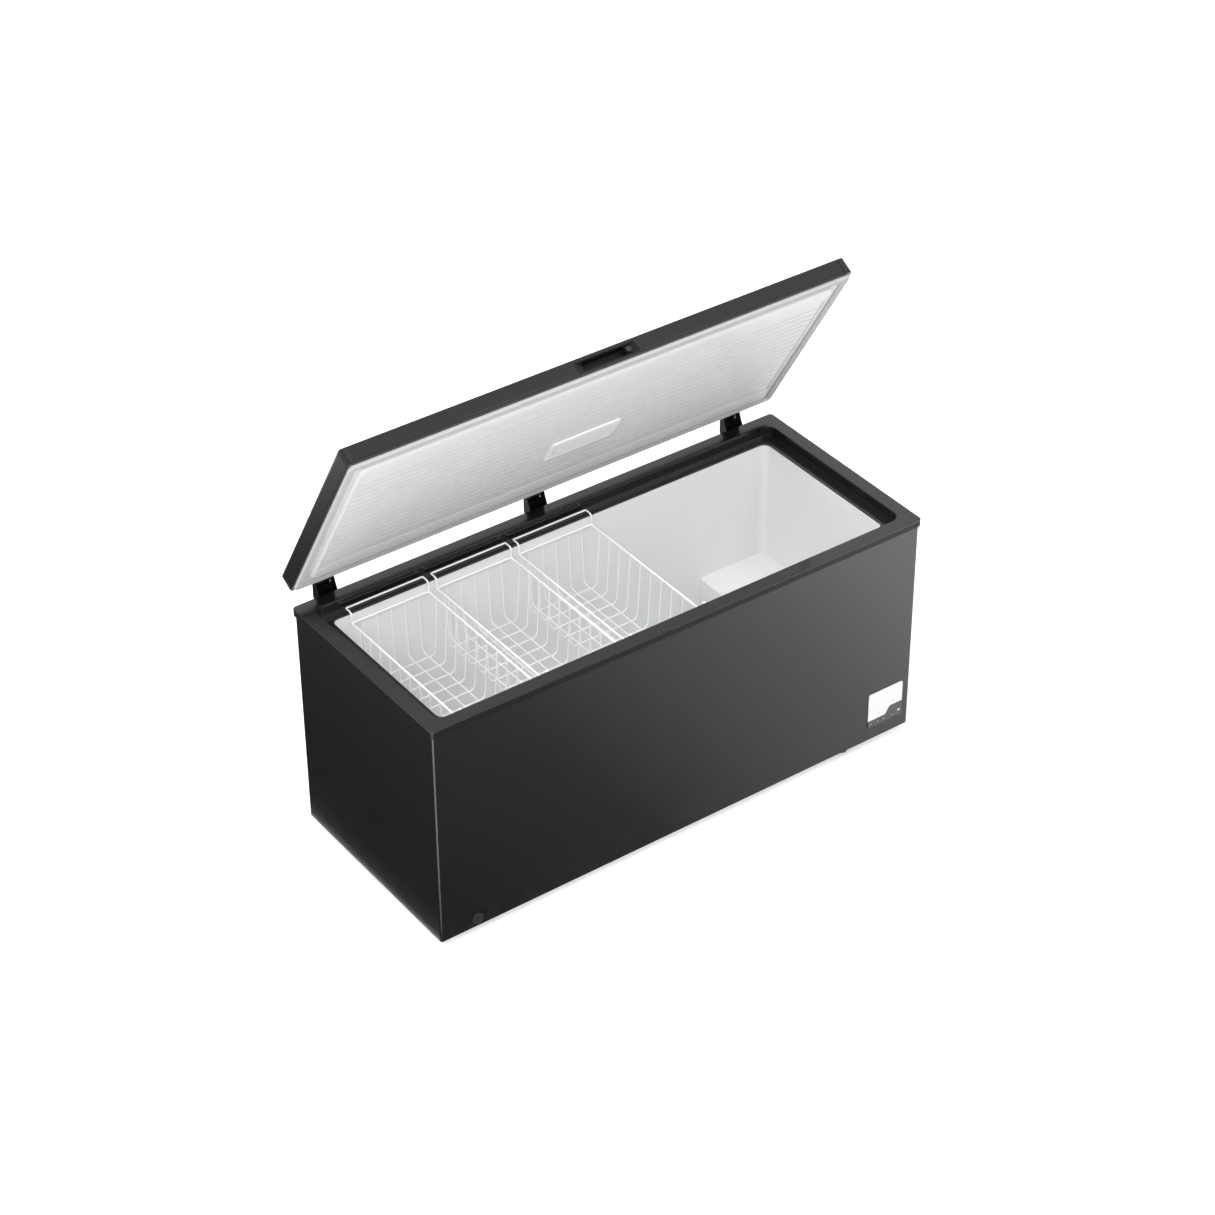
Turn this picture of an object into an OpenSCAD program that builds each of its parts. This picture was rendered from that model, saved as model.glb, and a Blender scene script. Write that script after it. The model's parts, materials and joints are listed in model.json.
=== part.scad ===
// Chest freezer, lid standing open, three wire baskets hung on the ledge of the rim.
// Millimetres, +Z up, front towards -Y. The origin is on the floor, under the middle of the
// overall outline as it stands with the lid open.

/* [Cabinet] */
// Width over the plastic rim
rim_w = 1650; // [1300:10:2000]
// Depth over the plastic rim
rim_d = 686; // [560:2:820]
// Height of the rim's top face above the underside of the body
body_h = 722; // [640:2:900]
// How far the rim stands out past the sheet metal, all round
rim_overhang = 6; // [3:0.5:10]
// Height of the rim's outer band
rim_band = 23; // [16:1:40]
// Thickness of the painted sheet
sheet_t = 0.8; // [0.5:0.1:1.5]
// Plan radius of the body's corners
body_r = 6; // [2:1:12]

/* [Rim and ledge] */
// Width of the rim's top face
rim_face = 42; // [34:1:60]
// Thickness of the rim moulding
rim_t = 3; // [2:0.5:4]
// Depth of the ledge below the rim's top face
ledge_drop = 32; // [24:1:40]
// Depth of the lip that runs down from the ledge to the liner
lip_drop = 8; // [4:1:12]
// Gap between the ledge's lip and the liner's wall
lip_gap = 4; // [2:0.5:6]

/* [Liner] */
// Insulated wall at the two ends
end_wall = 72; // [60:1:90]
// Insulated wall at the front and back
side_wall = 70; // [60:1:90]
// Insulated floor
floor_wall = 70; // [60:1:90]
// Thickness of the liner
liner_t = 1.5; // [1:0.1:3]
// Plan radius of the liner's corners
liner_r = 22; // [10:1:40]
// Width of the step over the machine compartment
step_w = 233; // [200:1:320]
// Height of the step above the underside of the body
step_h = 300; // [270:1:340]
// Insulation between the step and the machine compartment
step_wall = 52; // [40:1:60]

/* [Lid] */
// How far the lid's ends stay inside the rim's
lid_end_in = 4.5; // [0:0.5:8]
// How far the lid stands out past the rim at the front and back
lid_over = 2; // [0:0.5:4]
// Height of the lid's skirt
lid_h = 51; // [44:1:70]
// Gap between rim and skirt, which the gasket fills
lid_gap = 9; // [7:0.5:12]
// Thickness of the lid's outer skin
lid_skin_t = 1.2; // [0.8:0.1:2.5]
// Angle at which the lid stands open
lid_open = 59.5; // [0:0.5:79]
// Width of the gasket
gasket_w = 22; // [14:1:26]
// How much wider the margin round the raised liner is than the rim's face
plug_clear = 4; // [3:0.5:20]
// How far the raised part of the lid's liner stands down
plug_drop = 10; // [6:1:16]
// Width of the raised strip round the lid's liner
plug_strip = 62; // [40:1:90]

/* [Lid handle and lock] */
// Width of the handle insert
handle_w = 198; // [150:1:240]
// Height of the handle insert
handle_h = 36; // [30:1:40]
// Depth of the handle insert
handle_d = 34; // [24:1:38]
// Width of the finger slot
grip_w = 130; // [100:1:140]
// Distance of the finger slot from the insert's left end
grip_in = 31; // [12:1:40]
// Height of the finger slot
grip_h = 20; // [16:1:24]
// Depth of the finger slot
grip_d = 26; // [18:1:30]
// Radius of the lock barrel
lock_r = 6; // [4:0.5:8]

/* [Hinges] */
// Distance of the two outer hinges from the rim's ends
hinge_in = 125; // [80:5:300]
// Hinge axis behind the rim's back edge
hinge_back = 37; // [34:0.5:50]
// Hinge axis above the rim's top face
hinge_up = 22.5; // [20:0.5:30]
// Width of a hinge
hinge_w = 60; // [50:1:100]
// Radius of a hinge pin
pin_r = 4; // [3:0.5:5]
// Radial clearance of the lid's knuckle on its pin
pin_fit = 0.05; // [0.01:0.01:0.1]

/* [Baskets] */
// Width of a basket over its top frame
basket_w = 255; // [180:1:300]
// Gap from one basket to the next
basket_space = 21; // [8:1:60]
// Gap between the left basket and the liner's left end
basket_from_end = 56.5; // [8:0.5:100]
// Height of a basket's frame above its floor
basket_h = 187; // [120:1:240]
// Drop from the hanger bar to the top frame
hanger_h = 34; // [28:1:60]
// Gap between a basket's frame and the liner
basket_gap = 4; // [3:0.5:10]
// How far a basket's walls lean in towards the floor
basket_lean = 11; // [4:1:25]
// Frame wire
frame_wire = 5.5; // [4:0.5:7]
// Mesh wire
mesh_wire = 3; // [2:0.5:4]

/* [Control panel] */
// Distance of the panel's middle from the body's right side
panel_in = 90; // [80:1:110]
// Width of the panel
panel_w = 126; // [100:1:140]
// Height of the panel
panel_h = 121; // [90:1:130]
// Height of the panel's lower edge above the underside of the body
panel_z = 45; // [30:1:60]
// How far the panel stands out
panel_t = 3; // [2:0.5:5]
// Travel of the key
key_travel = 0.8; // [0.4:0.1:1.5]

/* [Drain] */
// Distance of the drain from the body's left side
drain_in = 119; // [100:1:200]
// Height of the drain's outlet above the underside of the body
drain_z = 26; // [24:1:34]
// Bore of the drain tube
drain_bore = 18; // [12:1:20]
// Diameter of the outlet's cap
cap_dia = 36; // [30:1:42]

/* [Feet and rollers] */
// Height of the body's underside above the floor
foot_h = 30; // [24:1:60]
// Radius of a rear roller
roller_r = 13; // [10:1:20]

/* [Machine compartment] */
// Radius of the compressor's shell
comp_r = 72; // [55:1:80]
// Height of the compressor's shell
comp_h = 150; // [110:1:160]

/* [Hidden] */
$fn = 48;
corner_steps = 6;

body_w = rim_w - 2 * rim_overhang;
body_d = rim_d - 2 * rim_overhang;
z_body = foot_h;
z_rim = z_body + body_h;
z_ledge = z_rim - ledge_drop;
z_lip = z_ledge - lip_drop;
z_floor = z_body + floor_wall;
z_step = z_body + step_h;

in_w = body_w - 2 * end_wall;
in_d = body_d - 2 * side_wall;
mouth_w = rim_w - 2 * rim_face;
mouth_d = rim_d - 2 * rim_face;
mouth_r = 34;
lip_w = in_w + 2 * lip_gap;
lip_d = in_d + 2 * lip_gap;
x_step = in_w / 2 - step_w;

// The machine compartment lies under the step, from the front sheet to the back panel.
bay_x0 = x_step + step_wall;
bay_x1 = body_w / 2 - sheet_t;
bay_z1 = z_step - step_wall;
bay_y = body_d / 2 - sheet_t;
bulkhead_t = 1;
tray_t = 2;

lid_w = rim_w - 2 * lid_end_in;
lid_d = rim_d + 2 * lid_over;
plug_inset = rim_face + plug_clear;
z_skirt = z_rim + lid_gap;
z_top = z_skirt + lid_h;
hinge_y = rim_d / 2 + hinge_back;
hinge_z = z_rim + hinge_up;
lid_r = 8;
gasket_fit = 0.3;
gasket_mid_w = (rim_w + mouth_w) / 2;
gasket_mid_d = (rim_d + mouth_d) / 2;
lid_liner_t = 1.5;

// The open lid's upper back edge reaches further back than anything else.
edge_y = hinge_y - lid_d / 2;
edge_z = z_top - hinge_z;
back_reach = max(
    hinge_y - edge_y * cos(lid_open) + edge_z * sin(lid_open),
    hinge_y + 9);
origin_y = (back_reach - rim_d / 2) / 2;

hinge_x = rim_w / 2 - hinge_in;
hinges = [-hinge_x, 0, hinge_x];
knuckle_r = 9;
cheek_t = 3;
leaf_t = 3;
leaf_top = rim_band + 5;
leaf_bottom = 150;
leaf_screws = [-45, -95];
screw_r = 2;
screw_l = 12;

handle_z = z_top - 27;
lock_wall = 3;
lock_x = -handle_w / 2 + grip_in + grip_w + lock_wall + lock_r;
lock_fit = 0.05;

basket_d = in_d - 2 * basket_gap;
z_hanger = z_ledge + frame_wire / 2 + 0.3;
z_frame = z_hanger - hanger_h;
z_basket = z_frame - basket_h;
hanger_y = (mouth_d + lip_d) / 4 + 2;
basket_x = [for (i = [0 : 2]) -in_w / 2 + basket_from_end + basket_w / 2
                              + i * (basket_w + basket_space)];
cross_pitch = 49;
long_pitch = 45;
mesh_w = basket_w - frame_wire - 2 * basket_lean;
mesh_d = basket_d - frame_wire - 2 * basket_lean;
cross_wires = floor(mesh_d / cross_pitch);
long_wires = floor(mesh_w / long_pitch);

panel_x = body_w / 2 - panel_in;
z_panel = z_body + panel_z;
wave_low = 25;
wave_high = 50;
wave_start = -0.02;
wave_end = 0.16;
wave_gap = 0.2;
key_pos = [0.41 * panel_w, 20];
key_w = 9;
key_h = 6;
light_pos = [-0.41, -0.2, -0.03];
light_r = 1.4;
cutout_edge = 5;
cutout_w = panel_w - 2 * cutout_edge;
cutout_h = panel_h - 2 * cutout_edge;
tub_d = 16;
board_gap = 7;

drain_x = -body_w / 2 + drain_in;
drain_y = -in_d / 2 + 70;
z_drain = z_body + drain_z;
drain_wall = 2;
drain_r = drain_bore / 2;
outlet_r = drain_r - 1;
plug_fit = 0.3;
cap_t = 5;

foot_r = 17;
foot_in_right = 214;
foot_in_left = 190;
foot_front_right = 24;
foot_front_left = 48;
roller_in = 150;
roller_back = 70;
roller_w = 22;
roller_gap = 1;
bracket_t = 2;
axle_r = 3;
roller_fit = 0.08;

comp_x = (bay_x0 + bay_x1) / 2 - 4;
comp_y = 95;
grommet_h = 12;
z_comp = z_body + tray_t + grommet_h;
comp_foot = [58, 62];
comp_foot_t = 3;
stub_r = 4;
stub_l = 14;

coil_w = 9;
coil_t = 4;
coil_rings = 7;
skin_rings = 5;

gland_x = bay_x1 - 50;
gland_z = z_body + 46;
gland_r = 9;
gland_bore = 4;
grille_w = 210;
grille_h = 150;
grille_y = 60;
grille_z = z_body + 48;
grille_t = 2;

lamp_x = 42;
lamp_w = 235;
lamp_d = 92;
lamp_y = lid_d / 2 - 283;
lamp_t = 9;

// ---- placing ----

module in_cabinet() {
    translate([0, -origin_y, 0]) children();
}

// Lid pieces are drawn with the lid shut and swung up about the hinge axis.
module in_lid() {
    in_cabinet()
        translate([0, hinge_y, hinge_z]) rotate([-lid_open, 0, 0])
            translate([0, -hinge_y, -hinge_z]) children();
}

// ---- shared shapes ----

function arc_points(c, r, from) =
    [for (i = [0 : corner_steps]) c + r * [cos(from + 90 * i / corner_steps),
                                           sin(from + 90 * i / corner_steps)]];

module rounded(w, d, r) {
    x = w / 2 - r;
    y = d / 2 - r;
    polygon(concat(arc_points([x, y], r, 0), arc_points([-x, y], r, 90),
                   arc_points([-x, -y], r, 180), arc_points([x, -y], r, 270)));
}

module slab(w, d, r, z0, z1) {
    translate([0, 0, z0]) linear_extrude(z1 - z0) rounded(w, d, r);
}

module frame_ring(w, d, r, wall, z0, z1) {
    translate([0, 0, z0]) linear_extrude(z1 - z0) difference() {
        rounded(w, d, r);
        rounded(w - 2 * wall, d - 2 * wall, max(r - wall, 1));
    }
}

// A box from its low to its high corner.
module span(low, high) {
    translate(low) cube(high - low);
}

module rod(p, q, r) {
    v = q - p;
    h = norm(v);
    translate(p) rotate([0, acos(v[2] / h), atan2(v[1], v[0])]) cylinder(h = h, r = r);
}

// A bent pipe through the given points.
module pipe(points, r) {
    for (i = [0 : len(points) - 2]) hull() {
        translate(points[i]) sphere(r, $fn = 12);
        translate(points[i + 1]) sphere(r, $fn = 12);
    }
}

// The space inside the liner, grown by g: a box with a step up at the right end.
module liner_space(g, top) {
    difference() {
        slab(in_w + 2 * g, in_d + 2 * g, liner_r + g, z_floor - g, top);
        span([x_step + g, -in_d, z_floor - 50], [in_w, in_d, z_step - g]);
    }
}

module bay_space() {
    span([bay_x0, -bay_y, z_body - 1], [bay_x1 + 5, bay_y + 5, bay_z1]);
}

// Height of a ring of the tube round the liner, counted from the lowest.
function ring_z(i) = z_floor + 40 + i * (z_lip - z_floor - 100) / (coil_rings - 1);

// The flattened refrigerant tube, wound round the liner.
module liner_coil() {
    difference() {
        union() {
            for (i = [0 : coil_rings - 1])
                frame_ring(in_w + 2 * (liner_t + coil_t), in_d + 2 * (liner_t + coil_t),
                           liner_r + liner_t + coil_t, coil_t, ring_z(i), ring_z(i) + coil_w);
            translate([-in_w / 4, in_d / 2 + liner_t, ring_z(0)])
                cube([coil_w, coil_t, ring_z(coil_rings - 1) - ring_z(0)]);
        }
        span([x_step - 4, -in_d, z_floor - 50], [in_w, in_d, z_step + 4]);
    }
}

// The warm tube, bonded to the inside of the painted sheet at the front and ends.
module skin_coil() {
    top = z_rim - rim_band - 90;
    low = bay_z1 + 30;
    difference() {
        union() {
            for (i = [0 : skin_rings - 1])
                frame_ring(body_w - 2 * sheet_t, body_d - 2 * sheet_t, body_r - sheet_t, coil_t,
                           low + i * (top - low) / (skin_rings - 1),
                           low + coil_w + i * (top - low) / (skin_rings - 1));
            translate([-body_w / 4, -body_d / 2 + sheet_t, low]) cube([coil_w, coil_t, top - low]);
        }
        span([-body_w, body_d / 2 - 20, 0], [body_w, body_d, z_rim]);
    }
}

// Outside of the drain: down from the floor, through an elbow block, and out at the front.
module drain_outside() {
    r = drain_r + drain_wall;
    translate([drain_x, drain_y, z_drain])
        cylinder(h = z_floor - liner_t - z_drain, r = r);
    translate([drain_x, drain_y, z_drain]) rotate([90, 0, 0])
        cylinder(h = drain_y + body_d / 2, r = outlet_r + drain_wall);
    translate([drain_x - r - 1, drain_y - r - 1, z_drain - r]) cube(2 * r + 2);
}

// ---- cabinet ----

module outer_wrap() {
    color("#2b2c2e") in_cabinet() difference() {
        slab(body_w, body_d, body_r, z_body, z_rim - rim_t);
        slab(body_w - 2 * sheet_t, body_d - 2 * sheet_t, body_r - sheet_t, z_body - 1, z_rim);
        span([-body_w / 2 + body_r, body_d / 2 - sheet_t - 1, 0],
             [body_w / 2 - body_r, body_d, z_rim]);
        translate([panel_x - cutout_w / 2, -body_d, z_panel + cutout_edge])
            cube([cutout_w, body_d, cutout_h]);
        translate([body_w / 4, grille_y - grille_w / 2 + 10, grille_z + 10])
            cube([body_w, grille_w - 20, grille_h - 20]);
        translate([drain_x, 0, z_drain]) rotate([90, 0, 0])
            cylinder(h = body_d, r = outlet_r + drain_wall);
    }
}

module hinge_screw_holes(r) {
    for (x = hinges, z = leaf_screws, s = [-1, 1])
        translate([x + s * (hinge_w / 2 - cheek_t - 10), body_d / 2 + leaf_t, z_rim + z])
            rotate([90, 0, 0]) cylinder(h = screw_l, r = r);
}

module back_panel() {
    color("#3a3b3d") in_cabinet() difference() {
        span([-body_w / 2 + body_r, body_d / 2 - sheet_t, z_body],
             [body_w / 2 - body_r, body_d / 2, z_rim - rim_t]);
        hinge_screw_holes(screw_r);
        translate([gland_x, body_d, gland_z]) rotate([90, 0, 0]) cylinder(h = body_d, r = gland_r);
    }
}

module base_pan() {
    color("#8c9094") in_cabinet()
        span([-body_w / 2 + body_r, -body_d / 2 + body_r, z_body],
             [bay_x0 - bulkhead_t, body_d / 2 - body_r, z_body + sheet_t]);
}

module cabinet_foam() {
    color("#e6d9a8") in_cabinet() difference() {
        slab(body_w - 2 * sheet_t, body_d - 2 * sheet_t, body_r - sheet_t,
             z_body + sheet_t, z_rim - rim_t);
        liner_space(liner_t, z_rim);
        slab(lip_w + 2 * rim_t, lip_d + 2 * rim_t, liner_r + 8, z_lip - liner_t, z_rim);
        slab(mouth_w + 2 * rim_t, mouth_d + 2 * rim_t, mouth_r + rim_t, z_ledge - rim_t, z_rim);
        span([bay_x0 - bulkhead_t, -body_d, 0], [body_w, body_d, bay_z1 + bulkhead_t]);
        liner_coil();
        skin_coil();
        drain_outside();
        hinge_screw_holes(screw_r);
        at_sleeve() sleeve_box();
    }
}

module inner_liner() {
    color("#e9edf0") in_cabinet() difference() {
        union() {
            liner_space(liner_t, z_lip);
            slab(lip_w + 2 * rim_t, lip_d + 2 * rim_t, liner_r + 8, z_lip - liner_t, z_lip);
        }
        liner_space(0, z_rim);
        translate([drain_x, drain_y, z_floor - 10]) cylinder(h = 20, r = drain_r);
    }
}

module rim_collar() {
    color("#17181a") in_cabinet() union() {
        difference() {
            slab(rim_w, rim_d, body_r + rim_overhang, z_rim - rim_band, z_rim);
            slab(body_w, body_d, body_r, z_rim - rim_band - 1, z_rim - rim_t);
            slab(mouth_w, mouth_d, mouth_r, z_rim - rim_band - 1, z_rim + 1);
        }
        frame_ring(mouth_w + 2 * rim_t, mouth_d + 2 * rim_t, mouth_r + rim_t, rim_t,
                   z_ledge - rim_t, z_rim);
        difference() {
            slab(mouth_w + 2, mouth_d + 2, mouth_r + 1, z_ledge - rim_t, z_ledge);
            slab(lip_w, lip_d, liner_r + 4, z_ledge - rim_t - 1, z_ledge + 1);
        }
        difference() {
            slab(lip_w + 2 * rim_t, lip_d + 2 * rim_t, liner_r + 8, z_lip, z_ledge - 1);
            slab(lip_w, lip_d, liner_r + 4, z_lip - 1, z_ledge + 1);
        }
    }
}

module evaporator_coil() {
    color("#b87333") in_cabinet() liner_coil();
}

module condenser_coil() {
    color("#7a4f2c") in_cabinet() skin_coil();
}

// The sleeve lies against the liner's back, between two rings of the tube.
module at_sleeve() {
    translate([x_step - 60, in_d / 2 + liner_t, ring_z(3.5)]) children();
}

module sleeve_box() {
    cube([50, 8, 8]);
}

module thermostat_bulb_sleeve() {
    color("#d9dcde") in_cabinet() at_sleeve() difference() {
        sleeve_box();
        translate([-1, 4, 4]) rotate([0, 90, 0]) cylinder(h = 46, r = 3);
    }
}

// ---- machine compartment ----

// Cuts what stands in the compartment to the rounded inside of the outer sheet.
module within_wrap() {
    intersection() {
        children();
        slab(body_w - 2 * sheet_t, body_d - 2 * sheet_t, body_r - sheet_t, z_body, z_rim);
    }
}

module bay_bulkhead() {
    color("#c7cacc") in_cabinet() within_wrap() difference() {
        span([bay_x0 - bulkhead_t, -bay_y, z_body], [bay_x1, bay_y, bay_z1 + bulkhead_t]);
        bay_space();
        translate([bay_x0 - 5, comp_y, z_comp + 120]) rotate([0, 90, 0]) cylinder(h = 10, r = 6);
    }
}

module compressor_tray() {
    color("#8c9094") in_cabinet() within_wrap() difference() {
        union() {
            span([bay_x0, -bay_y, z_body], [bay_x1, bay_y, z_body + tray_t]);
            span([bay_x0, -bay_y, z_body + tray_t], [bay_x1 - 20, -bay_y + 2, z_body + 14]);
        }
        for (x = [-1, 1], y = [-1, 1])
            translate([comp_x + x * comp_foot[0], comp_y + y * comp_foot[1], z_body - 1])
                cylinder(h = 10, r = 4);
    }
}

module compressor_shell() {
    profile = [[0, 0], [comp_r - 14, 0], [comp_r - 3, 12], [comp_r - 3, comp_h * 0.52],
               [comp_r, comp_h * 0.52], [comp_r, comp_h * 0.58], [comp_r - 3, comp_h * 0.58],
               [comp_r - 5, comp_h * 0.8], [comp_r - 22, comp_h * 0.95], [0, comp_h]];
    color("#1d1e20") in_cabinet() translate([comp_x, comp_y, z_comp]) difference() {
        union() {
            rotate_extrude() polygon(profile);
            translate([-comp_foot[0] - 12, -comp_foot[1] - 12, 0])
                cube([2 * comp_foot[0] + 24, 2 * comp_foot[1] + 24, comp_foot_t]);
            rod([0, comp_r - 8, 105], [0, comp_r + stub_l, 105], stub_r);
            rod([-comp_r + 8, 0, 60], [-comp_r - stub_l + 8, 0, 60], stub_r);
        }
        for (x = [-1, 1], y = [-1, 1])
            translate([x * comp_foot[0], y * comp_foot[1], -1]) cylinder(h = 8, r = 4);
    }
}

module compressor_grommets() {
    color("#121212") in_cabinet()
        for (x = [-1, 1], y = [-1, 1])
            translate([comp_x + x * comp_foot[0], comp_y + y * comp_foot[1], z_body + tray_t])
                difference() {
                    union() {
                        cylinder(h = grommet_h, r = 10);
                        translate([0, 0, grommet_h]) cylinder(h = comp_foot_t, r = 4);
                        translate([0, 0, grommet_h + comp_foot_t]) cylinder(h = 3, r = 8);
                    }
                    translate([0, 0, -1]) cylinder(h = 30, r = 2.5);
                }
}

module start_relay() {
    color("#222428") in_cabinet()
        translate([comp_x - 24, comp_y - comp_r - 26, z_comp + 40]) union() {
            cube([48, 26, 52]);
            translate([10, -6, 8]) cube([28, 6, 30]);
        }
}

module filter_drier() {
    color("#b87333") in_cabinet() translate([bay_x0 + 32, -140, z_body + 70]) rotate([-90, 0, 0]) {
        cylinder(h = 12, r1 = 4, r2 = 9);
        translate([0, 0, 12]) cylinder(h = 90, r = 9);
        translate([0, 0, 102]) cylinder(h = 12, r1 = 9, r2 = 4);
    }
}

module suction_line() {
    y = comp_y + comp_r + stub_l;
    color("#c98a4b") in_cabinet()
        pipe([[comp_x, y + 4.2, z_comp + 105], [comp_x, y + 22, z_comp + 105],
              [comp_x - 30, y + 30, z_comp + 150], [bay_x0 + 20, y + 20, z_comp + 160],
              [bay_x0 + 8, comp_y + 60, z_comp + 150]], 4);
}

module discharge_line() {
    x = comp_x - comp_r - stub_l + 8;
    color("#c98a4b") in_cabinet()
        pipe([[x - 3.4, comp_y, z_comp + 60], [x - 8, comp_y - 10, z_comp + 62],
              [bay_x0 + 14, comp_y - 60, z_comp + 90], [bay_x0 + 14, comp_y - 60, bay_z1 - 6]], 3);
}

module capillary_tube() {
    color("#c98a4b") in_cabinet()
        pipe([[bay_x0 + 32, -142, z_body + 70], [bay_x0 + 32, -170, z_body + 76],
              [bay_x0 + 12, -190, z_body + 120], [bay_x0 + 12, -190, bay_z1 - 4]], 1.6);
}

module terminal_box() {
    color("#2a2c30") in_cabinet()
        translate([gland_x - 34, bay_y - 46, z_body + tray_t]) difference() {
            cube([58, 24, 70]);
            translate([3, -1, 3]) cube([52, 22, 64]);
        }
}

module cord_gland() {
    color("#151515") in_cabinet() translate([gland_x, body_d / 2, gland_z]) rotate([90, 0, 0])
        difference() {
            union() {
                translate([0, 0, -3]) cylinder(h = 3, r = gland_r + 4);
                cylinder(h = 12, r = gland_r);
            }
            translate([0, 0, -4]) cylinder(h = 20, r = gland_bore);
        }
}

module side_grille() {
    slats = 11;
    pitch = (grille_h - 24) / slats;
    color("#202123") in_cabinet() translate([body_w / 2, grille_y - grille_w / 2, grille_z])
        difference() {
            union() {
                cube([grille_t, grille_w, grille_h]);
                translate([-6, 10, 10]) cube([6, grille_w - 20, grille_h - 20]);
            }
            translate([-7, 14, 14]) cube([5, grille_w - 28, grille_h - 28]);
            for (i = [0 : slats - 1], s = [0, 1])
                translate([-8, 16 + s * (grille_w / 2 - 12), 13 + (i + 0.25) * pitch])
                    cube([12, grille_w / 2 - 20, pitch / 2]);
        }
}

// ---- control panel ----

// Height of the wave between the white fascia and the dark window, at t across the panel.
function wave(t) =
    let (u = min(max((t - wave_start) / (wave_end - wave_start), 0), 1))
    wave_low + (wave_high - wave_low) * (1 - cos(180 * u)) / 2;

function wave_points(shift) =
    [for (i = [0 : 24]) [(i / 24 - 0.5) * panel_w, wave(i / 24 - 0.5) + shift]];

module panel_plane() {
    in_cabinet() translate([panel_x, -body_d / 2, z_panel]) rotate([90, 0, 0]) children();
}

module panel_fascia() {
    r = 7;
    w = panel_w / 2;
    color("#f4f5f6") panel_plane() difference() {
        union() {
            linear_extrude(panel_t)
                polygon(concat(wave_points(wave_gap), arc_points([w - r, panel_h - r], r, 0),
                               arc_points([-w + r, panel_h - r], r, 90)));
            translate([-cutout_w / 2, wave_high + wave_gap, -tub_d])
                cube([cutout_w, panel_h - wave_high - 12, tub_d]);
        }
        translate([-cutout_w / 2 + 2, wave_high - 5, -tub_d - 1])
            cube([cutout_w - 4, panel_h - wave_high - 9, tub_d]);
    }
}

module panel_window() {
    w = panel_w / 2;
    color("#33363a") panel_plane() difference() {
        linear_extrude(panel_t)
            polygon(concat([[-w, 0], [w, 0]], [for (i = [24 : -1 : 0]) wave_points(0)[i]]));
        translate([key_pos[0] - key_w / 2 - 0.3, key_pos[1] - key_h / 2 - 0.3, -1])
            cube([key_w + 0.6, key_h + 0.6, 10]);
        for (t = light_pos) translate([t * panel_w, wave_low / 2, -1]) cylinder(h = 10, r = light_r);
    }
}

module indicator_lights() {
    color("#8fd0ff") panel_plane()
        for (t = light_pos) translate([t * panel_w, wave_low / 2, -board_gap])
            cylinder(h = board_gap + panel_t, r = light_r - 0.02);
}

module control_board() {
    color("#1f6b3a") panel_plane() union() {
        translate([-cutout_w / 2 + 3, 12, -board_gap - 1.6])
            cube([cutout_w - 6, wave_high - 14, 1.6]);
        translate([-10, 18, -board_gap - 9]) cube([26, 14, 7.6]);
        translate([22, 16, -board_gap - 12]) cube([14, 14, 10.6]);
    }
}

// The key's travel is left free between its foot and the board.
module panel_key() {
    color("#c9ccd0") panel_plane()
        translate([key_pos[0], key_pos[1], 0]) {
            translate([-key_w / 2, -key_h / 2, -1]) cube([key_w, key_h, panel_t + 1.6]);
            translate([-key_w / 2 - 1, -key_h / 2 - 1, -3]) cube([key_w + 2, key_h + 2, 2]);
            translate([-1.5, -1.5, -board_gap + key_travel + 0.5]) cube([3, 3, board_gap - 3]);
        }
}

// ---- drain ----

module drain_tube() {
    color("#d7dadc") in_cabinet() difference() {
        drain_outside();
        translate([drain_x, drain_y, z_drain]) cylinder(h = z_floor, r = drain_r);
        translate([drain_x, drain_y, z_drain]) rotate([90, 0, 0])
            cylinder(h = body_d, r = outlet_r);
    }
}

module drain_cap() {
    color("#242527") in_cabinet() translate([drain_x, -body_d / 2, z_drain]) rotate([90, 0, 0]) {
        difference() {
            cylinder(h = cap_t, r = cap_dia / 2);
            for (s = [-1, 1]) translate([s * 9 - 5, -9, cap_t - 1.6]) cube([10, 18, 3]);
        }
        translate([0, 0, -18]) cylinder(h = 18, r = outlet_r - plug_fit);
    }
}

module drain_stopper() {
    color("#2a2b2d") in_cabinet() translate([drain_x, drain_y, z_floor]) {
        translate([0, 0, 0.3]) cylinder(h = 4, r = drain_r + 7);
        translate([0, 0, -16]) cylinder(h = 17, r = drain_r - plug_fit);
        translate([-2, -8, 4]) cube([4, 16, 9]);
    }
}

// ---- feet and rollers ----

module foot(x, y) {
    translate([x, y, 0]) {
        cylinder(h = 6, r = foot_r);
        translate([0, 0, 6]) cylinder(h = foot_h - 6, r1 = foot_r - 2, r2 = foot_r + 3);
    }
}

module front_feet() {
    color("#151515") in_cabinet() {
        foot(body_w / 2 - foot_in_right, -body_d / 2 + foot_front_right + foot_r);
        foot(-body_w / 2 + foot_in_left, -body_d / 2 + foot_front_left + foot_r);
    }
}

module at_rollers() {
    for (s = [-1, 1])
        translate([s * (body_w / 2 - roller_in), body_d / 2 - roller_back, roller_r]) children();
}

module roller_brackets() {
    w = roller_w / 2 + roller_gap;
    color("#6f7478") in_cabinet() at_rollers() {
        difference() {
            union() {
                for (s = [-1, 1])
                    translate([s * (w + bracket_t / 2) - bracket_t / 2, -9, -6])
                        cube([bracket_t, 18, foot_h - roller_r + 6]);
                translate([-w - bracket_t, -16, foot_h - roller_r - 2])
                    cube([2 * (w + bracket_t), 32, 2]);
            }
            translate([-50, 0, 0]) rotate([0, 90, 0]) cylinder(h = 100, r = axle_r);
        }
        translate([-w - bracket_t - 1, 0, 0]) rotate([0, 90, 0])
            cylinder(h = 2 * (w + bracket_t) + 2, r = axle_r - 0.01);
    }
}

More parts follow.
